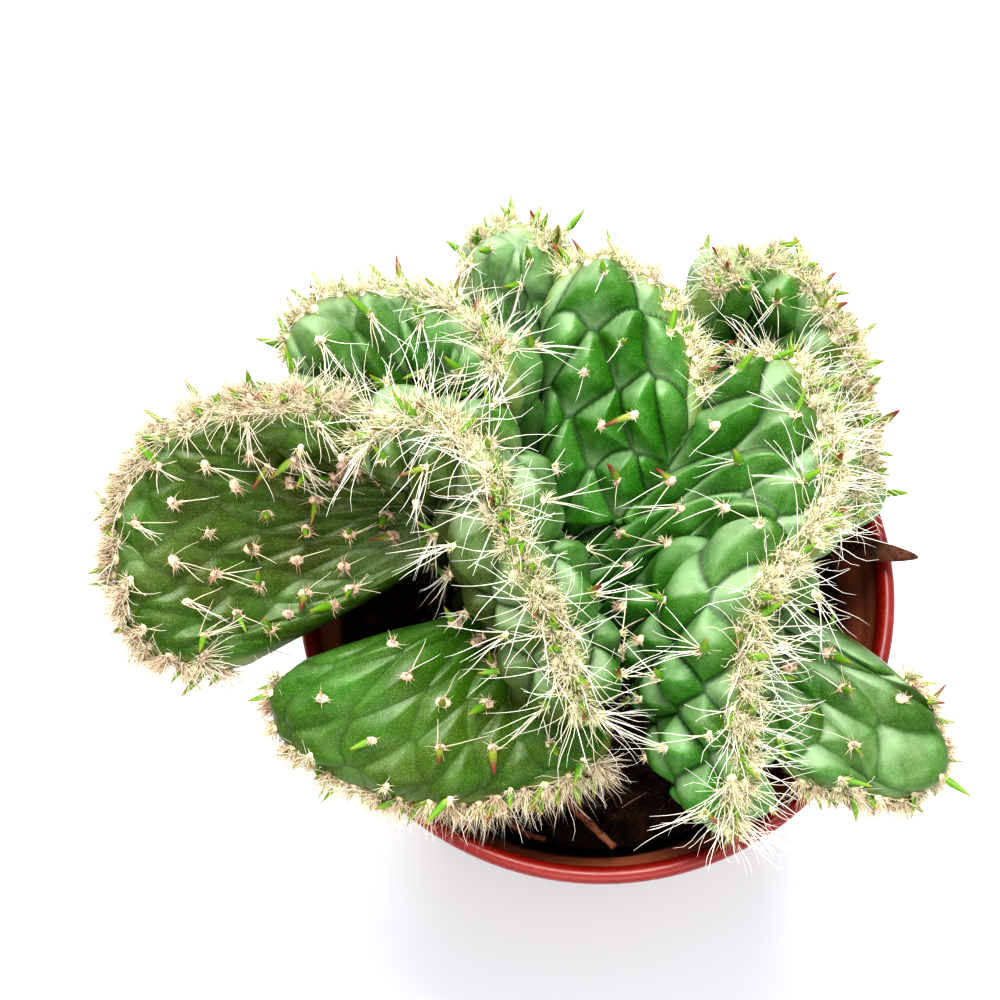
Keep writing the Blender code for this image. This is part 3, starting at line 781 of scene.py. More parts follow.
# Painted shade: the crease lines are darkened in the colour, where shade falls between the tubercles.
crease_shade_painted = tinted(skin_tree, pored, crease, 0.6, (0.004, 0.016, 0.003))
woolly_edge = maths(skin_tree, "MULTIPLY_ADD", patches, 5.0, from_crest)
woolly = left_from_one(skin_tree, between(skin_tree, woolly_edge, 3.2, 5.6))
skin_colour = tinted(skin_tree, crease_shade_painted, woolly, 0.35, (0.40, 0.40, 0.14))
skin_height = maths(skin_tree, "MULTIPLY_ADD", crease, -0.6, times(skin_tree, fine_grain, 0.4))
wire(skin_tree, skin_shader, skin_colour, skin_height, strength=0.5)
skin_tree.links.new(maths(skin_tree, "MULTIPLY_ADD", bloom_and_sheen, 0.25, 0.33), skin_shader.inputs["Roughness"])
finished(body, skin_finish, "cactus_skin", "cactus")

# %% [markdown]
# ## Where the areoles are
#
# There are two kinds. Along each crest they are young and crowd into three lines of woolly clumps. Down the
# flanks there is one on each tubercle, above its middle, but fewer where a fan narrows towards its root.
# Each one is put on the finished skin, and one that would be buried in another fan is left out. A place on
# a seam touches the faces of two fans, which a search can find in either order. The face that agrees best
# with the fan's own direction is taken, so the result is the same each run.

# %% Place the areoles
CLUMP_STEP = 3.3
CLUMP_LINES = (-1.3, 0.0, 1.3)
FULL_COLUMN = 2.4
AREOLE_UP = 0.12
BURIED = 0.9
END_SHARE = 0.12
ON_SEAM = 0.00005
draws = np.random.default_rng(20)
skin_search = BVHTree.FromObject(body, bpy.context.evaluated_depsgraph_get())


def areole_rows(name):
    """(u, w, side, on_crest) of each areole of a fan."""
    fan = FANS[name]
    columns, rows = lattice_size(fan)
    spots = []
    margin = 0.3 * fan["half"][1] / fan["length"]
    count = round(fan["length"] * (1 - 2 * margin) / CLUMP_STEP)
    for line, offset in enumerate(CLUMP_LINES):
        for k in range(count):
            u = margin + (1 - 2 * margin) * (k + 0.5 * (line % 2) + draws.uniform(0.0, 0.5)) / count
            w = abs(offset + draws.normal(0, 0.4)) / fan["drop"]
            spots.append((u, w, math.copysign(1, offset + draws.normal(0, 0.1)), True))
    for side in (1.0, -1.0):
        for row in range(1, rows):
            for column in range(1, columns):
                if (row + column) % 2 == 0:
                    height = row - AREOLE_UP
                    shift, slide = lattice_bend(column, height, side, FAN_NAMES.index(name))
                    u = (column - shift) / columns
                    w = (max(height - slide, 0.02) / rows) ** (1 / ROW_STRETCH)
                    column_width = fan["length"] / columns * (1 - w * fan["narrowing"])
                    if draws.uniform() * FULL_COLUMN < column_width:
                        spots.append((u, w, side, False))
    return spots


areoles = []
for name in FANS:
    spots = areole_rows(name)
    u, w, side = (np.array([spot[k] for spot in spots]) for k in range(3))
    places, out, _, down = skin(name, u, w, side)
    higher = skin(name, u, np.maximum(w - 0.03, 0), side)[0]
    further = skin(name, np.minimum(u + 0.02, 1), w, side)[0]
    past_end = np.maximum(0, (u - 1 + END_SHARE) / END_SHARE) - np.maximum(0, (END_SHARE - u) / END_SHARE)
    for k, spot in enumerate(spots):
        near, normal, _, gap = skin_search.find_nearest(Vector(places[k]) * MM)
        if gap < BURIED * MM:
            touching = skin_search.find_nearest_range(near, ON_SEAM * MM)
            normal = max([normal, *(found[1] for found in touching)], key=Vector(out[k]).dot)
            areoles.append(
                {
                    "fan": name,
                    "place": np.array(near / MM),
                    "out": unit(out[k] + 0.8 * np.array(normal)),
                    "to_crest": unit(higher[k] - places[k]),
                    "along": unit(further[k] - places[k]),
                    "down": down[k],
                    "end": past_end[k],
                    "on_crest": spot[3],
                }
            )
print(sum(areole["on_crest"] for areole in areoles), "areoles on the crests of", len(areoles))

# %% [markdown]
# ## Many copies of one small thing
#
# Spines, wool, leaves, crumbs and fibres are each one small pattern, copied many times. A pattern is made
# with bmesh operators and stands on Z from 0 to 1. Each copy stretches it along its own path, which has a
# heading, a bend and a ripple, so no two copies look alike. Two attributes go with every copy: "along" runs
# from 0 at its foot to 1 at its tip, and "draw" is one number for the whole copy, random or its age.


# %% Copy a pattern
def cut_across(shape, lengths):
    """Cuts a shape that stands on Z from 0 to 1 into this many equal lengths, which stay joined."""
    for k in range(1, lengths):
        whole = shape.verts[:] + shape.edges[:] + shape.faces[:]
        bmesh.ops.bisect_plane(shape, geom=whole, plane_co=(0, 0, k / lengths), plane_no=(0, 0, 1))


def strand_pattern(sides, cuts, tip):
    """A thin tapered strand with this many sides, cut across so that it can bend."""
    shape = bmesh.new()
    bmesh.ops.create_cone(
        shape, cap_ends=True, cap_tris=False, segments=sides, radius1=1.0, radius2=tip, depth=1.0,
        matrix=Matrix.Translation((0, 0, 0.5)),
    )
    cut_across(shape, cuts + 1)
    bmesh.ops.remove_doubles(shape, verts=shape.verts, dist=1e-5)
    bmesh.ops.recalc_face_normals(shape, faces=shape.faces)
    return shape


def copies(name, pattern, rows, finish, slot, *nodes, smooth=True):
    """One piece made of many bent copies of a pattern.

    Each row gives base, heading (with the length in it), girth, bend and ripple, all in mm, and draw.
    """
    coords = np.array([vert.co for vert in pattern.verts])
    corners = np.array([len(face.verts) for face in pattern.faces])
    loops = np.array([vert.index for face in pattern.faces for vert in face.verts])
    pattern.free()
    base, heading, bend, ripple = (
        np.array([row[key] for row in rows], float) for key in ("base", "heading", "bend", "ripple")
    )
    girth = np.array([row["girth"] for row in rows], float)[:, None, None]
    t = coords[:, 2][None, :, None]
    path = base[:, None] + heading[:, None] * t + bend[:, None] * t**2
    path = path + ripple[:, None] * np.sin(math.tau * t) * t
    forward = unit(heading)
    helper = np.where(np.abs(forward[:, 2:3]) > 0.8, [[1.0, 0.0, 0.0]], [[0.0, 0.0, 1.0]])
    first = unit(np.cross(forward, helper))
    second = np.cross(forward, first)
    x, y = coords[:, 0][None, :, None], coords[:, 1][None, :, None]
    places = path + girth * (x * first[:, None] + y * second[:, None])
    count, size = len(rows), len(coords)
    nth = np.arange(count)[:, None]
    mesh = bpy.data.meshes.new(name)
    mesh.vertices.add(count * size)
    mesh.vertices.foreach_set("co", (places * MM).astype(np.float32).ravel())
    mesh.loops.add(count * len(loops))
    mesh.loops.foreach_set("vertex_index", (loops[None] + size * nth).astype(np.int32).ravel())
    starts = np.concatenate([[0], np.cumsum(corners)[:-1]])
    mesh.polygons.add(count * len(corners))
    mesh.polygons.foreach_set("loop_start", (starts[None] + len(loops) * nth).astype(np.int32).ravel())
    mesh.update(calc_edges=True)
    marks = {"along": np.tile(coords[:, 2], count), "draw": np.repeat([row["draw"] for row in rows], size)}
    for key, values in marks.items():
        mesh.attributes.new(key, "FLOAT", "POINT").data.foreach_set("value", values.astype(np.float32))
    if smooth:
        mesh.shade_smooth()
    made = bpy.data.objects.new(name, mesh)
    bpy.context.scene.collection.objects.link(made)
    return finished(made, finish, slot, *nodes)


print("copying helpers are ready")

# %% [markdown]
# ## Where a strand goes
#
# Hairs, spines and leaves leave an areole in a direction that is leaned from its outward one, and then bend
# sideways by a random amount. Where the tip would leave the solids' box, the strand isn't made.


# %% Direct a strand
def strand(base, direction, length, girth, bend=0.0, ripple=0.0, draw=None):
    """One row for copies(): a strand that leaves in a direction and drifts sideways by a random amount."""
    sideways = np.cross(direction, draws.normal(size=3))
    other = np.cross(direction, sideways)
    return {
        "base": base,
        "heading": direction * length,
        "girth": girth,
        "bend": sideways / max(np.linalg.norm(sideways), 1e-6) * bend * length,
        "ripple": other / max(np.linalg.norm(other), 1e-6) * ripple * length,
        "draw": draws.uniform() if draw is None else draw,
    }


def direction_from(areole, tilt, turn, past_end=0.0):
    """A direction leaned from the areole's outward one by tilt, towards turn: 0 is down the flank.

    Near a fan's end, past_end leans it on beyond the end.
    """
    out, down = areole["out"], -areole["to_crest"]
    down = unit(down - out * down.dot(out))
    across = np.cross(out, down)
    leaned = out * math.cos(tilt) + (down * math.cos(turn) + across * math.sin(turn)) * math.sin(tilt)
    return unit(leaned + areole["along"] * areole["end"] * past_end)


def inside_box(row):
    """Whether a strand's tip lies in the solids' box, which the dressed plant must not leave."""
    tip = row["base"] + row["heading"] + row["bend"]
    return all(low / MM < c < high / MM for c, low, high in zip(tip, *cad_box))


print("strand helpers are ready")

# %% [markdown]
# ## Wool
#
# Each areole is a small cushion of felt with a brush of short fine hairs. A cushion is a low ball, mostly
# hidden by its hairs, which are three-sided strands cut once. The clumps on the crests also have longer
# fine bristles, and a dense felt of hairs too short to bend. The wool is cream where it is young, along the
# crests, and tan or pinkish on the old areoles low on the flanks, which are rounder. On a warm-toned, older
# fan it is longer too. A hair that would leave the solids' box is left out.

# %% Make the wool
WOOL = {
    "crest_felt": {
        "hairs": 60, "length": (0.5, 1.3), "spread": 0.6, "girth": 0.085, "lean": 0.8, "cuts": 0,
    },
    "crest_wool": {
        "hairs": 28, "length": (1.2, 3.2), "spread": 0.45, "girth": 0.065, "lean": 0.8, "cuts": 1,
    },
    "crest_bristles": {
        "hairs": 8, "length": (2.2, 4.8), "spread": 0.4, "girth": 0.055, "lean": 0.7, "cuts": 1,
    },
    "flank_wool": {
        "hairs": 26, "length": (0.5, 1.3), "spread": 0.2, "girth": 0.075, "lean": 0.9, "cuts": 1,
    },
}
CREST_WOOL = ("crest_felt", "crest_wool", "crest_bristles")
CREST_CUSHION = 0.8
FLANK_CUSHION = (0.45, 0.8)
OLD_WOOL_GROWTH = 0.6
OLD_WOOL_DEPTH = 38.0

wool_finish, wool_tree, wool_shader = finish_of(
    "areole_wool", roughness=0.8, Specular_IOR_Level=0.2, Sheen_Weight=0.7
)
wool_age = attribute(wool_tree, "draw")["Fac"]
wool_tip = attribute(wool_tree, "along")["Fac"]
WOOL_COLOURS = (
    (0.0, (0.90, 0.84, 0.48)), (0.35, (0.84, 0.68, 0.42)),
    (0.7, (0.72, 0.42, 0.24)), (1.0, (0.60, 0.23, 0.11)),
)
wool_base = ramp(wool_tree, wool_age, WOOL_COLOURS)
wool_grain = grain(wool_tree, object_place(wool_tree), 800.0)
wool_lumps = between(wool_tree, wool_grain, 0.55, 0.78)
wool_shaded = tinted(wool_tree, wool_base, wool_lumps, 0.2, (0.66, 0.50, 0.22))
wool_colour = tinted(wool_tree, wool_shaded, wool_tip, 0.6, (0.85, 0.82, 0.64))
wire(wool_tree, wool_shader, wool_colour, wool_grain, strength=0.6, distance=0.0005)
cushions, hairs = [], {name: [] for name in WOOL}
for areole in areoles:
    warmth = FANS[areole["fan"]]["warmth"]
    age = areole["down"] / OLD_WOOL_DEPTH + 0.5 * warmth + draws.normal(0, 0.12)
    age = float(np.clip(age, 0, 1))
    young, old = FLANK_CUSHION
    size = CREST_CUSHION if areole["on_crest"] else young + (old - young) * age
    size *= draws.uniform(0.75, 1.2)
    heading = areole["out"] * size * 1.5
    cushions.append(strand(areole["place"] - heading * 0.55, heading, 1.0, size, draw=age))
    fullness = draws.uniform(0.5, 1.3)
    for kind in CREST_WOOL if areole["on_crest"] else ("flank_wool",):
        wool = WOOL[kind]
        for _ in range(round(wool["hairs"] * fullness)):
            lean, turn = abs(draws.normal(0, wool["lean"])), draws.uniform(0, math.tau)
            direction = direction_from(areole, lean, turn, past_end=0.5)
            strewn = draws.normal(0, wool["spread"], 3) * (1 - 0.7 * np.abs(areole["out"]))
            base = areole["place"] + strewn + (direction * 0.5 + areole["out"] * 0.15) * size
            growth = 1 + OLD_WOOL_GROWTH * warmth
            length = draws.uniform(*wool["length"]) * (0.6 + 0.4 * fullness) * growth
            row = strand(base, direction, length, wool["girth"], bend=draws.uniform(0, 0.4), draw=age)
            if inside_box(row):
                hairs[kind].append(row)

cushion_pattern = bmesh.new()
bmesh.ops.create_uvsphere(cushion_pattern, u_segments=7, v_segments=5, radius=1.0)
for vert in cushion_pattern.verts:
    vert.co *= 1 + 0.3 * noise.noise(vert.co * 2.3)
    vert.co = (vert.co.x * 0.85, vert.co.y * 1.15, vert.co.z / 2 + 0.5)
copies("areole_cushions", cushion_pattern, cushions, wool_finish, "cactus_skin", "cactus")
for name, rows in hairs.items():
    hair_pattern = strand_pattern(3, WOOL[name]["cuts"], 0.0)
    copies(name, hair_pattern, rows, wool_finish, "cactus_skin", "cactus", smooth=False)

# %% [markdown]
# ## Spines
#
# The long spines are white, thin and a little curly. On a crest they part to both sides, and on a flank
# they lie down it, away from the crest. Each is a three-sided strand cut five times, so that it can curl.
# A spine that would leave the solids' box is left out.

# %% Make the spines
SPINE_GIRTH = (0.07, 0.12)
CLUMP_SPINES = 0.45
UPPER_FLANK = 12.0
LOWER_SPINE_LENGTH = 0.85
END_SPINES = 4.0

spine_finish, spine_tree, spine_shader = finish_of("white_spine", roughness=0.45, Specular_IOR_Level=0.4)
SPINE_COLOURS = (
    (0.0, (0.66, 0.52, 0.28)), (0.15, (0.76, 0.69, 0.52)),
    (0.5, (0.78, 0.75, 0.66)), (1.0, (0.80, 0.78, 0.71)),
)
spine_colour = ramp(spine_tree, attribute(spine_tree, "along")["Fac"], SPINE_COLOURS)
spine_old = between(spine_tree, attribute(spine_tree, "draw")["Fac"], 0.72, 1.0)
wire(spine_tree, spine_shader, tinted(spine_tree, spine_colour, spine_old, 0.6, (0.60, 0.44, 0.30)))
spines = []
for areole in areoles:
    fan = FANS[areole["fan"]]
    crest, upper, lower = fan["spines"]
    low, high = fan["reach"]
    share_of_reach = 1.0 if areole["down"] < UPPER_FLANK else LOWER_SPINE_LENGTH
    if areole["on_crest"]:
        count = draws.poisson(crest * CLUMP_SPINES * (1 + END_SPINES * max(areole["end"], 0)))
    else:
        count = draws.poisson(upper if areole["down"] < UPPER_FLANK else lower)
    for _ in range(count):
        if areole["on_crest"]:
            tilt, turn, curl = draws.uniform(0.25, 1.3), draws.normal(0, 0.8), 1.0
        else:
            tilt, turn, curl = draws.uniform(0.7, 1.35), draws.normal(0, 0.38), 0.45
        row = strand(
            areole["place"] + draws.normal(0, 0.25, 3),
            direction_from(areole, tilt, turn, past_end=1.3),
            draws.triangular(low, (low + high) / 2, high) * share_of_reach,
            draws.uniform(*SPINE_GIRTH),
            bend=draws.uniform(0.02, 0.42) * curl,
            ripple=draws.uniform(0.0, 0.11) * curl,
            draw=draws.uniform() * (1 - fan["warmth"]) + fan["warmth"],
        )
        if inside_box(row):
            spines.append(row)
copies("spines", strand_pattern(3, 5, 0.3), spines, spine_finish, "cactus_skin", "cactus")

# %% [markdown]
# ## Leaves
#
# This plant's leaves are small fleshy cones that stand beside an areole and soon drop. The pattern is a
# profile turned round Z with seven sides. Its colour runs from green at the foot to red at the very tip.

# %% Make the leaves
LEAF_LENGTH = (2.8, 5.2)
LEAF_GIRTH = (0.4, 0.66)
CREST_LEAF_SHARE = 0.9
CREST_LEAF_LENGTH = 0.95
LEAF_SIDES = 7
LEAF_PROFILE = (
    (0.0, 0.0), (0.55, 0.02), (0.95, 0.18), (0.92, 0.38), (0.62, 0.65), (0.28, 0.87), (0.0, 1.0),
)

leaf_finish, leaf_tree, leaf_shader = finish_of("fleshy_leaf", roughness=0.45, Specular_IOR_Level=0.35)
leaf_along = attribute(leaf_tree, "along")["Fac"]
leaf_draw = attribute(leaf_tree, "draw")["Fac"]
LEAF_GREENS = (
    (0.0, (0.36, 0.40, 0.10)), (0.3, (0.12, 0.27, 0.02)), (0.7, (0.15, 0.30, 0.02)),
    (0.88, (0.26, 0.25, 0.03)), (1.0, (0.30, 0.06, 0.03)),
)
LEAF_REDS = (
    (0.0, (0.42, 0.42, 0.12)), (0.4, (0.20, 0.27, 0.03)), (0.65, (0.18, 0.10, 0.03)),
    (0.85, (0.22, 0.03, 0.03)), (1.0, (0.20, 0.02, 0.03)),
)
leaf_fresh, leaf_red = (ramp(leaf_tree, leaf_along, stops) for stops in (LEAF_GREENS, LEAF_REDS))
leaf_colour = mixed(leaf_tree, between(leaf_tree, leaf_draw, 0.68, 0.9), leaf_fresh, leaf_red)
wire(leaf_tree, leaf_shader, leaf_colour)
leaf_rows = []
for areole in areoles:
    near_crest, lower = FANS[areole["fan"]]["leaves"]
    if areole["on_crest"]:
        chance = near_crest * CREST_LEAF_SHARE
    else:
        chance = near_crest if areole["down"] < UPPER_FLANK else lower
    if draws.uniform() > chance:
        continue
    length = draws.uniform(*LEAF_LENGTH) * (CREST_LEAF_LENGTH if areole["on_crest"] else 1.0)
    direction = direction_from(areole, draws.uniform(0.2, 1.0), math.pi + draws.normal(0, 0.9))
    base = areole["place"] - areole["out"] * 0.3
    row = strand(base, direction, length, draws.uniform(*LEAF_GIRTH), bend=draws.uniform(0, 0.15))
    if inside_box(row):
        leaf_rows.append(row)
leaf_pattern = turned(LEAF_PROFILE, LEAF_SIDES)
bmesh.ops.recalc_face_normals(leaf_pattern, faces=leaf_pattern.faces)
copies("leaves", leaf_pattern, leaf_rows, leaf_finish, "cactus_skin", "cactus")

# %% [markdown]
# ## The pot
#
# The pot is thin moulded plastic: a tapered wall, a wider stepped lip and a rolled rim. It is turned from
# one closed profile, as a moulding tool is, and the drain holes are cut with a Boolean. The red is a little
# uneven and scuffed. The inner wall below the lip is a light dusty brown, partly soil dust and partly
# painted light that lifts the wall out of its shade. An attribute marks that wall: there the normals point
# to the axis.

# %% Turn the pot
POT_PROFILE = (
    (0.0, 0.6), (10.0, 0.6), (11.0, 0.0), (28.4, 0.0), (29.2, 0.35), (29.6, 1.1), (30.6, 7.5), (39.5, 65.4),
    (39.7, 66.0), (40.9, 66.35), (41.35, 66.7), (41.6, 67.4), (42.2, 72.6), (42.5, 73.6), (42.45, 74.3),
    (42.1, 74.8), (41.5, 75.0), (40.9, 74.85), (40.45, 74.4), (40.15, 73.6), (39.6, 68.2), (39.2, 66.8),
    (38.2, 65.6), (29.2, 7.5), (28.0, 3.2), (27.4, 2.3), (26.6, 2.0), (0.0, 2.0),
)
POT_SIDES = 144
DRAIN_HOLES = 6
DRAIN_HOLE_RADIUS = 3.5
DRAIN_CIRCLE_RADIUS = 19.0
INNER_WALL_LIMIT = 0.2
DUST_AND_LIGHT_EDGE = (70.5 * MM, 73.8 * MM)

pot = object_from(turned(POT_PROFILE, POT_SIDES), "nursery_pot")
pot.data.set_sharp_from_angle(angle=math.radians(50))
hole_shape = bmesh.new()
for k in range(DRAIN_HOLES):
    hole_turn = Matrix.Rotation(math.tau * k / DRAIN_HOLES, 4, "Z")
    bmesh.ops.create_cone(
        hole_shape, cap_ends=True, segments=32, radius1=DRAIN_HOLE_RADIUS, radius2=DRAIN_HOLE_RADIUS,
        depth=8.0, matrix=hole_turn @ Matrix.Translation((DRAIN_CIRCLE_RADIUS, 0, 0)),
    )
hole_cutter = object_from(hole_shape, "drain_hole_cutter", smooth=False)
drain = pot.modifiers.new("drain_holes", "BOOLEAN")
drain.operation = "DIFFERENCE"
drain.object = hole_cutter
drain.solver = "MANIFOLD"
apply_modifiers(pot)
bpy.data.objects.remove(hole_cutter)
inner_wall = []
for vert in pot.data.vertices:
    toward_axis = -(vert.normal.x * vert.co.x + vert.normal.y * vert.co.y) / vert.co.length
    inner_wall.append(1.0 if toward_axis > INNER_WALL_LIMIT else 0.0)
pot.data.attributes.new("inner_wall", "FLOAT", "POINT").data.foreach_set("value", inner_wall)
pot_finish, pot_tree, pot_shader = finish_of("red_plastic", roughness=0.35, Specular_IOR_Level=0.5)
pot_place = object_place(pot_tree)
pot_grain = grain(pot_tree, pot_place, 130.0)
pot_dust = specks(pot_tree, pot_place, 420.0, 0.16)
pot_height = add(pot_tree, "ShaderNodeSeparateXYZ", {"Vector": pot_place}).outputs["Z"]
pot_below_lip = left_from_one(pot_tree, between(pot_tree, pot_height, *DUST_AND_LIGHT_EDGE))
pot_dust_and_light = times(pot_tree, attribute(pot_tree, "inner_wall")["Fac"], pot_below_lip)
pot_red = mixed(pot_tree, pot_grain, (0.17, 0.006, 0.003), (0.235, 0.012, 0.006))
pot_scuffed = tinted(pot_tree, pot_red, between(pot_tree, pot_grain, 0.56, 0.72), 0.15, (0.40, 0.08, 0.05))
pot_dusted = tinted(pot_tree, pot_scuffed, pot_dust, 0.35, (0.20, 0.09, 0.05))
# Partly soil dust and partly painted light: the inner wall below the lip is lightened to a dusty brown.
pot_colour = tinted(pot_tree, pot_dusted, pot_dust_and_light, 0.8, (0.54, 0.20, 0.105))
wire(pot_tree, pot_shader, pot_colour, pot_grain, strength=0.15, distance=0.0003)
pot_tree.links.new(maths(pot_tree, "MULTIPLY_ADD", pot_grain, 0.3, 0.2), pot_shader.inputs["Roughness"])
finished(pot, pot_finish, "pot_plastic", "pot")

# %% [markdown]
# ## The soil
#
# Peat looks like dark crumbs with pale and reddish fibres through it. The bulk is one turned shape that
# fills the pot, with its top moved by layered noise.

# %% Fill the pot with peat
RIM_RADIUS = 42.5
SOIL_TOP = 64.0
SOIL_MOUND = 2.0
SOIL_ROUGHNESS = 1.1
SOIL_RADIUS = 36.6
SOIL_FOOT_RADIUS = 26.5
SOIL_RINGS = 46
SOIL_SIDES = 150


def soil_height(x, y):
    """The lumpy top of the soil, mounded towards the stem."""
    mound = SOIL_MOUND * (1 - math.hypot(x, y) / RIM_RADIUS)
    return SOIL_TOP + mound + SOIL_ROUGHNESS * noise.noise(Vector((x, y, 3.0)) * 0.16)


def crumbly_height(x, y):
    """The soil's top with its crumbs. It stays just under the solid's highest lumps."""
    place = Vector((x, y, 7.0))
    crumbs = 0.8 * noise.noise(place * 0.55) + 0.45 * noise.noise(place * 1.3)
    return soil_height(x, y) + crumbs - 0.4


soil_outline = [(SOIL_RADIUS * k / SOIL_RINGS, SOIL_TOP) for k in range(SOIL_RINGS + 1)]
soil_outline += [(SOIL_FOOT_RADIUS, 5.0), (25.0, 2.4), (0.0, 2.4)]
soil_shape = turned(soil_outline, SOIL_SIDES)
for vert in soil_shape.verts:
    if vert.co.z > SOIL_TOP - 0.01:
        vert.co.z = crumbly_height(vert.co.x, vert.co.y)
soil = object_from(soil_shape, "peat")

soil_finish, soil_tree, soil_shader = finish_of("dark_peat", roughness=0.95, Specular_IOR_Level=0.15)
soil_place = object_place(soil_tree)
soil_grain = grain(soil_tree, soil_place, 420.0)
soil_patches = grain(soil_tree, soil_place, 90.0)
soil_specks = specks(soil_tree, soil_place, 700.0, 0.22)
soil_light = between(soil_tree, soil_grain, 0.35, 0.7)
soil_dark = mixed(soil_tree, soil_light, (0.010, 0.007, 0.005), (0.050, 0.026, 0.014))
soil_reddish = between(soil_tree, soil_patches, 0.5, 0.68)
soil_warm = tinted(soil_tree, soil_dark, soil_reddish, 0.6, (0.10, 0.042, 0.022))
soil_colour = tinted(soil_tree, soil_warm, soil_specks, 0.2, (0.30, 0.22, 0.15))
wire(soil_tree, soil_shader, soil_colour, soil_grain, strength=0.9, distance=0.0012)
finished(soil, soil_finish, "potting_soil", "soil")

# %% [markdown]
# ## Crumbs and fibres
#
# Noise alone gives hills and no loose edges, so crumbs and fibres are scattered on the peat, clear of the
# stem and the wall. A crumb is a lumpy ball, stretched a random way. A fibre is a bent strand that lies
# nearly flat.

# %% Scatter the crumbs and fibres
CRUMBS = 1500
FIBRES = 420
FIBRE_GIRTH = (0.07, 0.16)


def spot_on_soil(reach):
    """A random place on the soil's top, clear of the stem and the wall."""
    while True:
        x, y = draws.uniform(-reach, reach, 2)
        if math.hypot(x, y) < reach and math.hypot(x + 3, y) > 9:
            return x, y


crumb_rows = []
for _ in range(CRUMBS):
    x, y = spot_on_soil(SOIL_RADIUS - 1.6)
    size = min(0.3 + draws.exponential(0.38), 1.7)
    heading = unit(draws.normal(size=3)) * size * draws.uniform(1.0, 1.9)
    base = np.array((x, y, crumbly_height(x, y) + 0.15 * size)) - heading / 2
    straight = {"bend": np.zeros(3), "ripple": np.zeros(3)}
    crumb_rows.append(
        {"base": base, "heading": heading, "girth": size * 0.6, "draw": draws.uniform(), **straight}
    )
crumb_pattern = bmesh.new()
bmesh.ops.create_icosphere(crumb_pattern, subdivisions=1, radius=1.0)
for vert in crumb_pattern.verts:
    vert.co *= 1 + 0.35 * noise.noise(vert.co * 3.1)
    vert.co.z = vert.co.z / 2 + 0.5
copies("peat_crumbs", crumb_pattern, crumb_rows, soil_finish, "potting_soil", "soil", smooth=False)

fibre_rows = []
for _ in range(FIBRES):
    x, y = spot_on_soil(SOIL_RADIUS - 4.0)
    length = draws.uniform(2.5, 8.0)
    turn = draws.uniform(0, math.tau)
    direction = unit(np.array((math.cos(turn), math.sin(turn), draws.normal(0.12, 0.12))))
    base = np.array((x, y, crumbly_height(x, y) + 0.25)) - direction * length * 0.4
    girth = draws.uniform(*FIBRE_GIRTH)
    row = strand(base, direction, length, girth, bend=draws.uniform(0, 0.3), ripple=draws.uniform(0, 0.08))
    tip = row["base"] + row["heading"] + row["bend"]
    if all(math.hypot(end[0], end[1]) < SOIL_RADIUS - 0.8 for end in (tip, base)):
        fibre_rows.append(row)
fibre_finish, fibre_tree, fibre_shader = finish_of("peat_fibre", roughness=0.85, Specular_IOR_Level=0.2)
FIBRE_COLOURS = (
    (0.0, (0.035, 0.016, 0.009)), (0.5, (0.13, 0.045, 0.022)),
    (0.85, (0.28, 0.12, 0.06)), (1.0, (0.45, 0.32, 0.20)),
)
wire(fibre_tree, fibre_shader, ramp(fibre_tree, attribute(fibre_tree, "draw")["Fac"], FIBRE_COLOURS))
copies("peat_fibres", strand_pattern(3, 4, 0.5), fibre_rows, fibre_finish, "potting_soil", "soil")

# %% [markdown]
# ## The twig and the dry roots
#
# A straight twig and two dry roots lie loose on the soil. Each is a round strand along a smooth line, with a
# girth that swells at the nodes. The lines repeat the solids' lines, which lie a set height over the soil.

# %% Lay the twig and the roots
TOUCH_GAP = 0.3
DRY_STRANDS = {
    "twig": {"line": ((-6.0, -28.0, 0.0), (-2.0, -32.5, 1.4), (2.0, -37.0, 3.2)), "radius": 0.8},
    "long_dry_root": {
        "line": ((-18.5, -26.5, 0.2), (-16.0, -29.5, 0.6), (-13.4, -32.2, 0.4), (-10.6, -34.4, 0.5),
                 (-7.4, -35.6, 0.8)),
        "radius": 0.6,
    },
    "curled_dry_root": {
        "line": ((-14.5, -23.5, 0.4), (-11.0, -24.6, 0.6), (-9.6, -27.6, 0.9), (-11.6, -29.4, 0.3)),
        "radius": 0.55,
    },
}
DRY_LENGTHS = 60


def woody_finish(name, roughness, scale, dark, light, distance):
    """A dull finish with grain between two browns."""
    made, tree, shader = finish_of(name, roughness=roughness, Specular_IOR_Level=0.2)
    wood_grain = grain(tree, object_place(tree), scale)
    colour = mixed(tree, between(tree, wood_grain, 0.35, 0.65), dark, light)
    wire(tree, shader, colour, wood_grain, distance=distance)
    return made


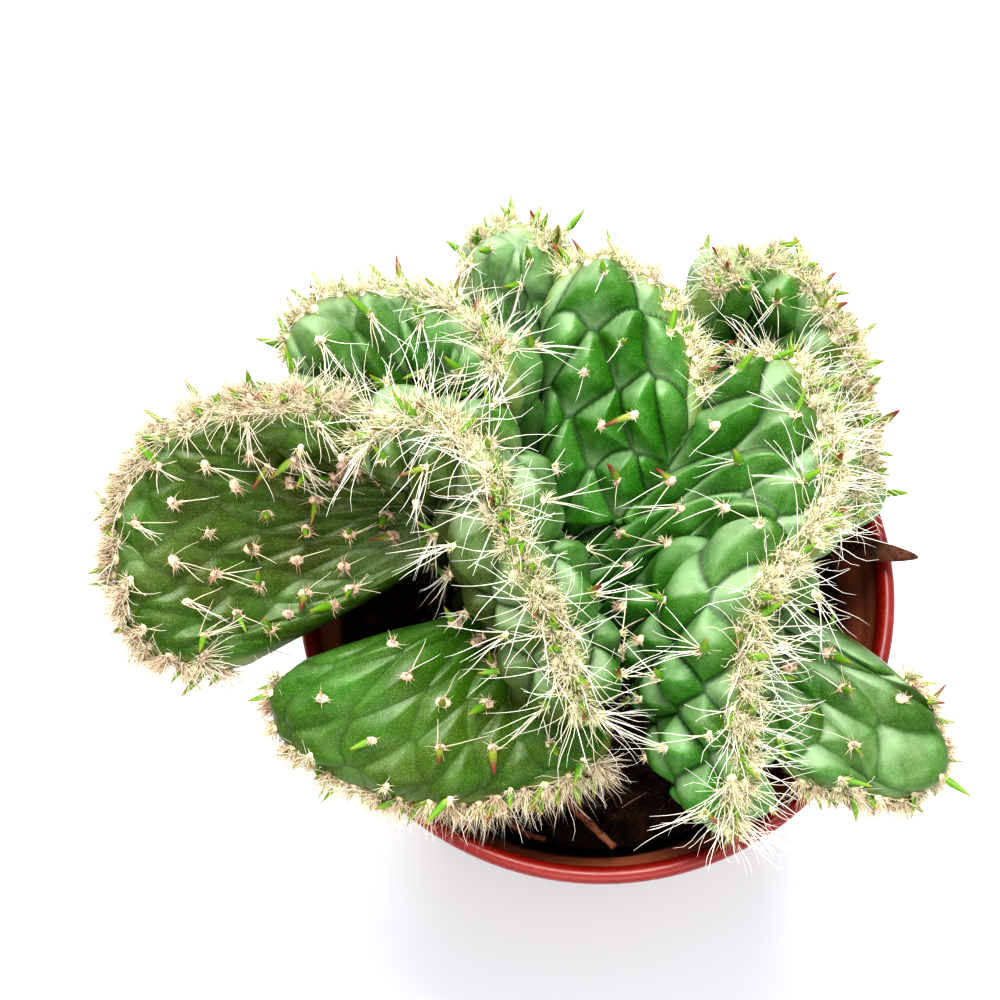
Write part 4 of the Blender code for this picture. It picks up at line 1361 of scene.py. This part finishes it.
bark_finish = woody_finish("dry_bark_skin", 0.85, 380.0, (0.16, 0.055, 0.028), (0.46, 0.20, 0.11), 0.0004)
for name, dry in DRY_STRANDS.items():
    line = smooth_path(dry["line"], np.linspace(0, 1, DRY_LENGTHS + 1))[0]
    for point in line:
        point[2] += soil_height(point[0], point[1]) + dry["radius"] + TOUCH_GAP
    shape = bmesh.new()
    bmesh.ops.create_cone(
        shape, cap_ends=True, segments=12, radius1=1.0, radius2=1.0, depth=1.0,
        matrix=Matrix.Translation((0, 0, 0.5)),
    )
    cut_across(shape, DRY_LENGTHS)
    for vert in shape.verts:
        k = min(round(vert.co.z * DRY_LENGTHS), DRY_LENGTHS)
        ahead = Vector(line[min(k + 1, DRY_LENGTHS)] - line[max(k - 1, 0)]).normalized()
        first = ahead.cross(Vector((0.3, 0.2, 1.0))).normalized()
        second = ahead.cross(first)
        taper = 0.95 - 0.35 * k / DRY_LENGTHS
        knobbly = 1 + 0.12 * noise.noise(Vector((vert.co.x, vert.co.y, k * 0.35)))
        knobbly += 0.1 * math.sin(k * 0.55)
        radius = min(dry["radius"] * taper * knobbly, dry["radius"])
        vert.co = Vector(line[k]) + (first * vert.co.x + second * vert.co.y) * radius
    finished(object_from(shape, name + "_bark"), bark_finish, "dry_root", name)

# %% [markdown]
# ## The chip
#
# A dark pointed chip of bark leans out over the rim. It is a ball that is flattened, stretched, tapered
# towards both ends and made uneven by noise. It is then turned to lie along its line.

# %% Lean the chip on the rim
CHIP_LINE = ((28.0, 9.5, 65.4), (44.6, 1.3, 80.2))
CHIP_WIDTH = 4.4
CHIP_THICKNESS = 1.8

chip_finish = woody_finish("dark_chip", 0.8, 300.0, (0.035, 0.014, 0.008), (0.15, 0.065, 0.038), 0.0005)
chip_low, chip_high = (Vector(end) for end in CHIP_LINE)
chip_shape = bmesh.new()
bmesh.ops.create_uvsphere(chip_shape, u_segments=28, v_segments=40, radius=0.5)
for vert in chip_shape.verts:
    taper = 1.0 - 0.7 * abs(vert.co.z)
    flake = 1 + 0.16 * noise.noise(Vector((vert.co.x * 6, vert.co.y * 6, vert.co.z * 1.5)))
    vert.co = (
        vert.co.x * CHIP_THICKNESS * flake * 0.95,
        vert.co.y * CHIP_WIDTH * taper * flake * 0.95,
        vert.co.z * (chip_high - chip_low).length,
    )
chip_along = (chip_high - chip_low).normalized()
chip_across = Vector((0, 0, 1)).cross(chip_along).normalized()
chip_matrix = Matrix((chip_across.cross(chip_along), chip_across, chip_along)).transposed().to_4x4()
chip_matrix.translation = (chip_low + chip_high) / 2
bmesh.ops.transform(chip_shape, matrix=chip_matrix, verts=chip_shape.verts)
finished(object_from(chip_shape, "splintered_chip"), chip_finish, "dry_bark", "rim_chip")
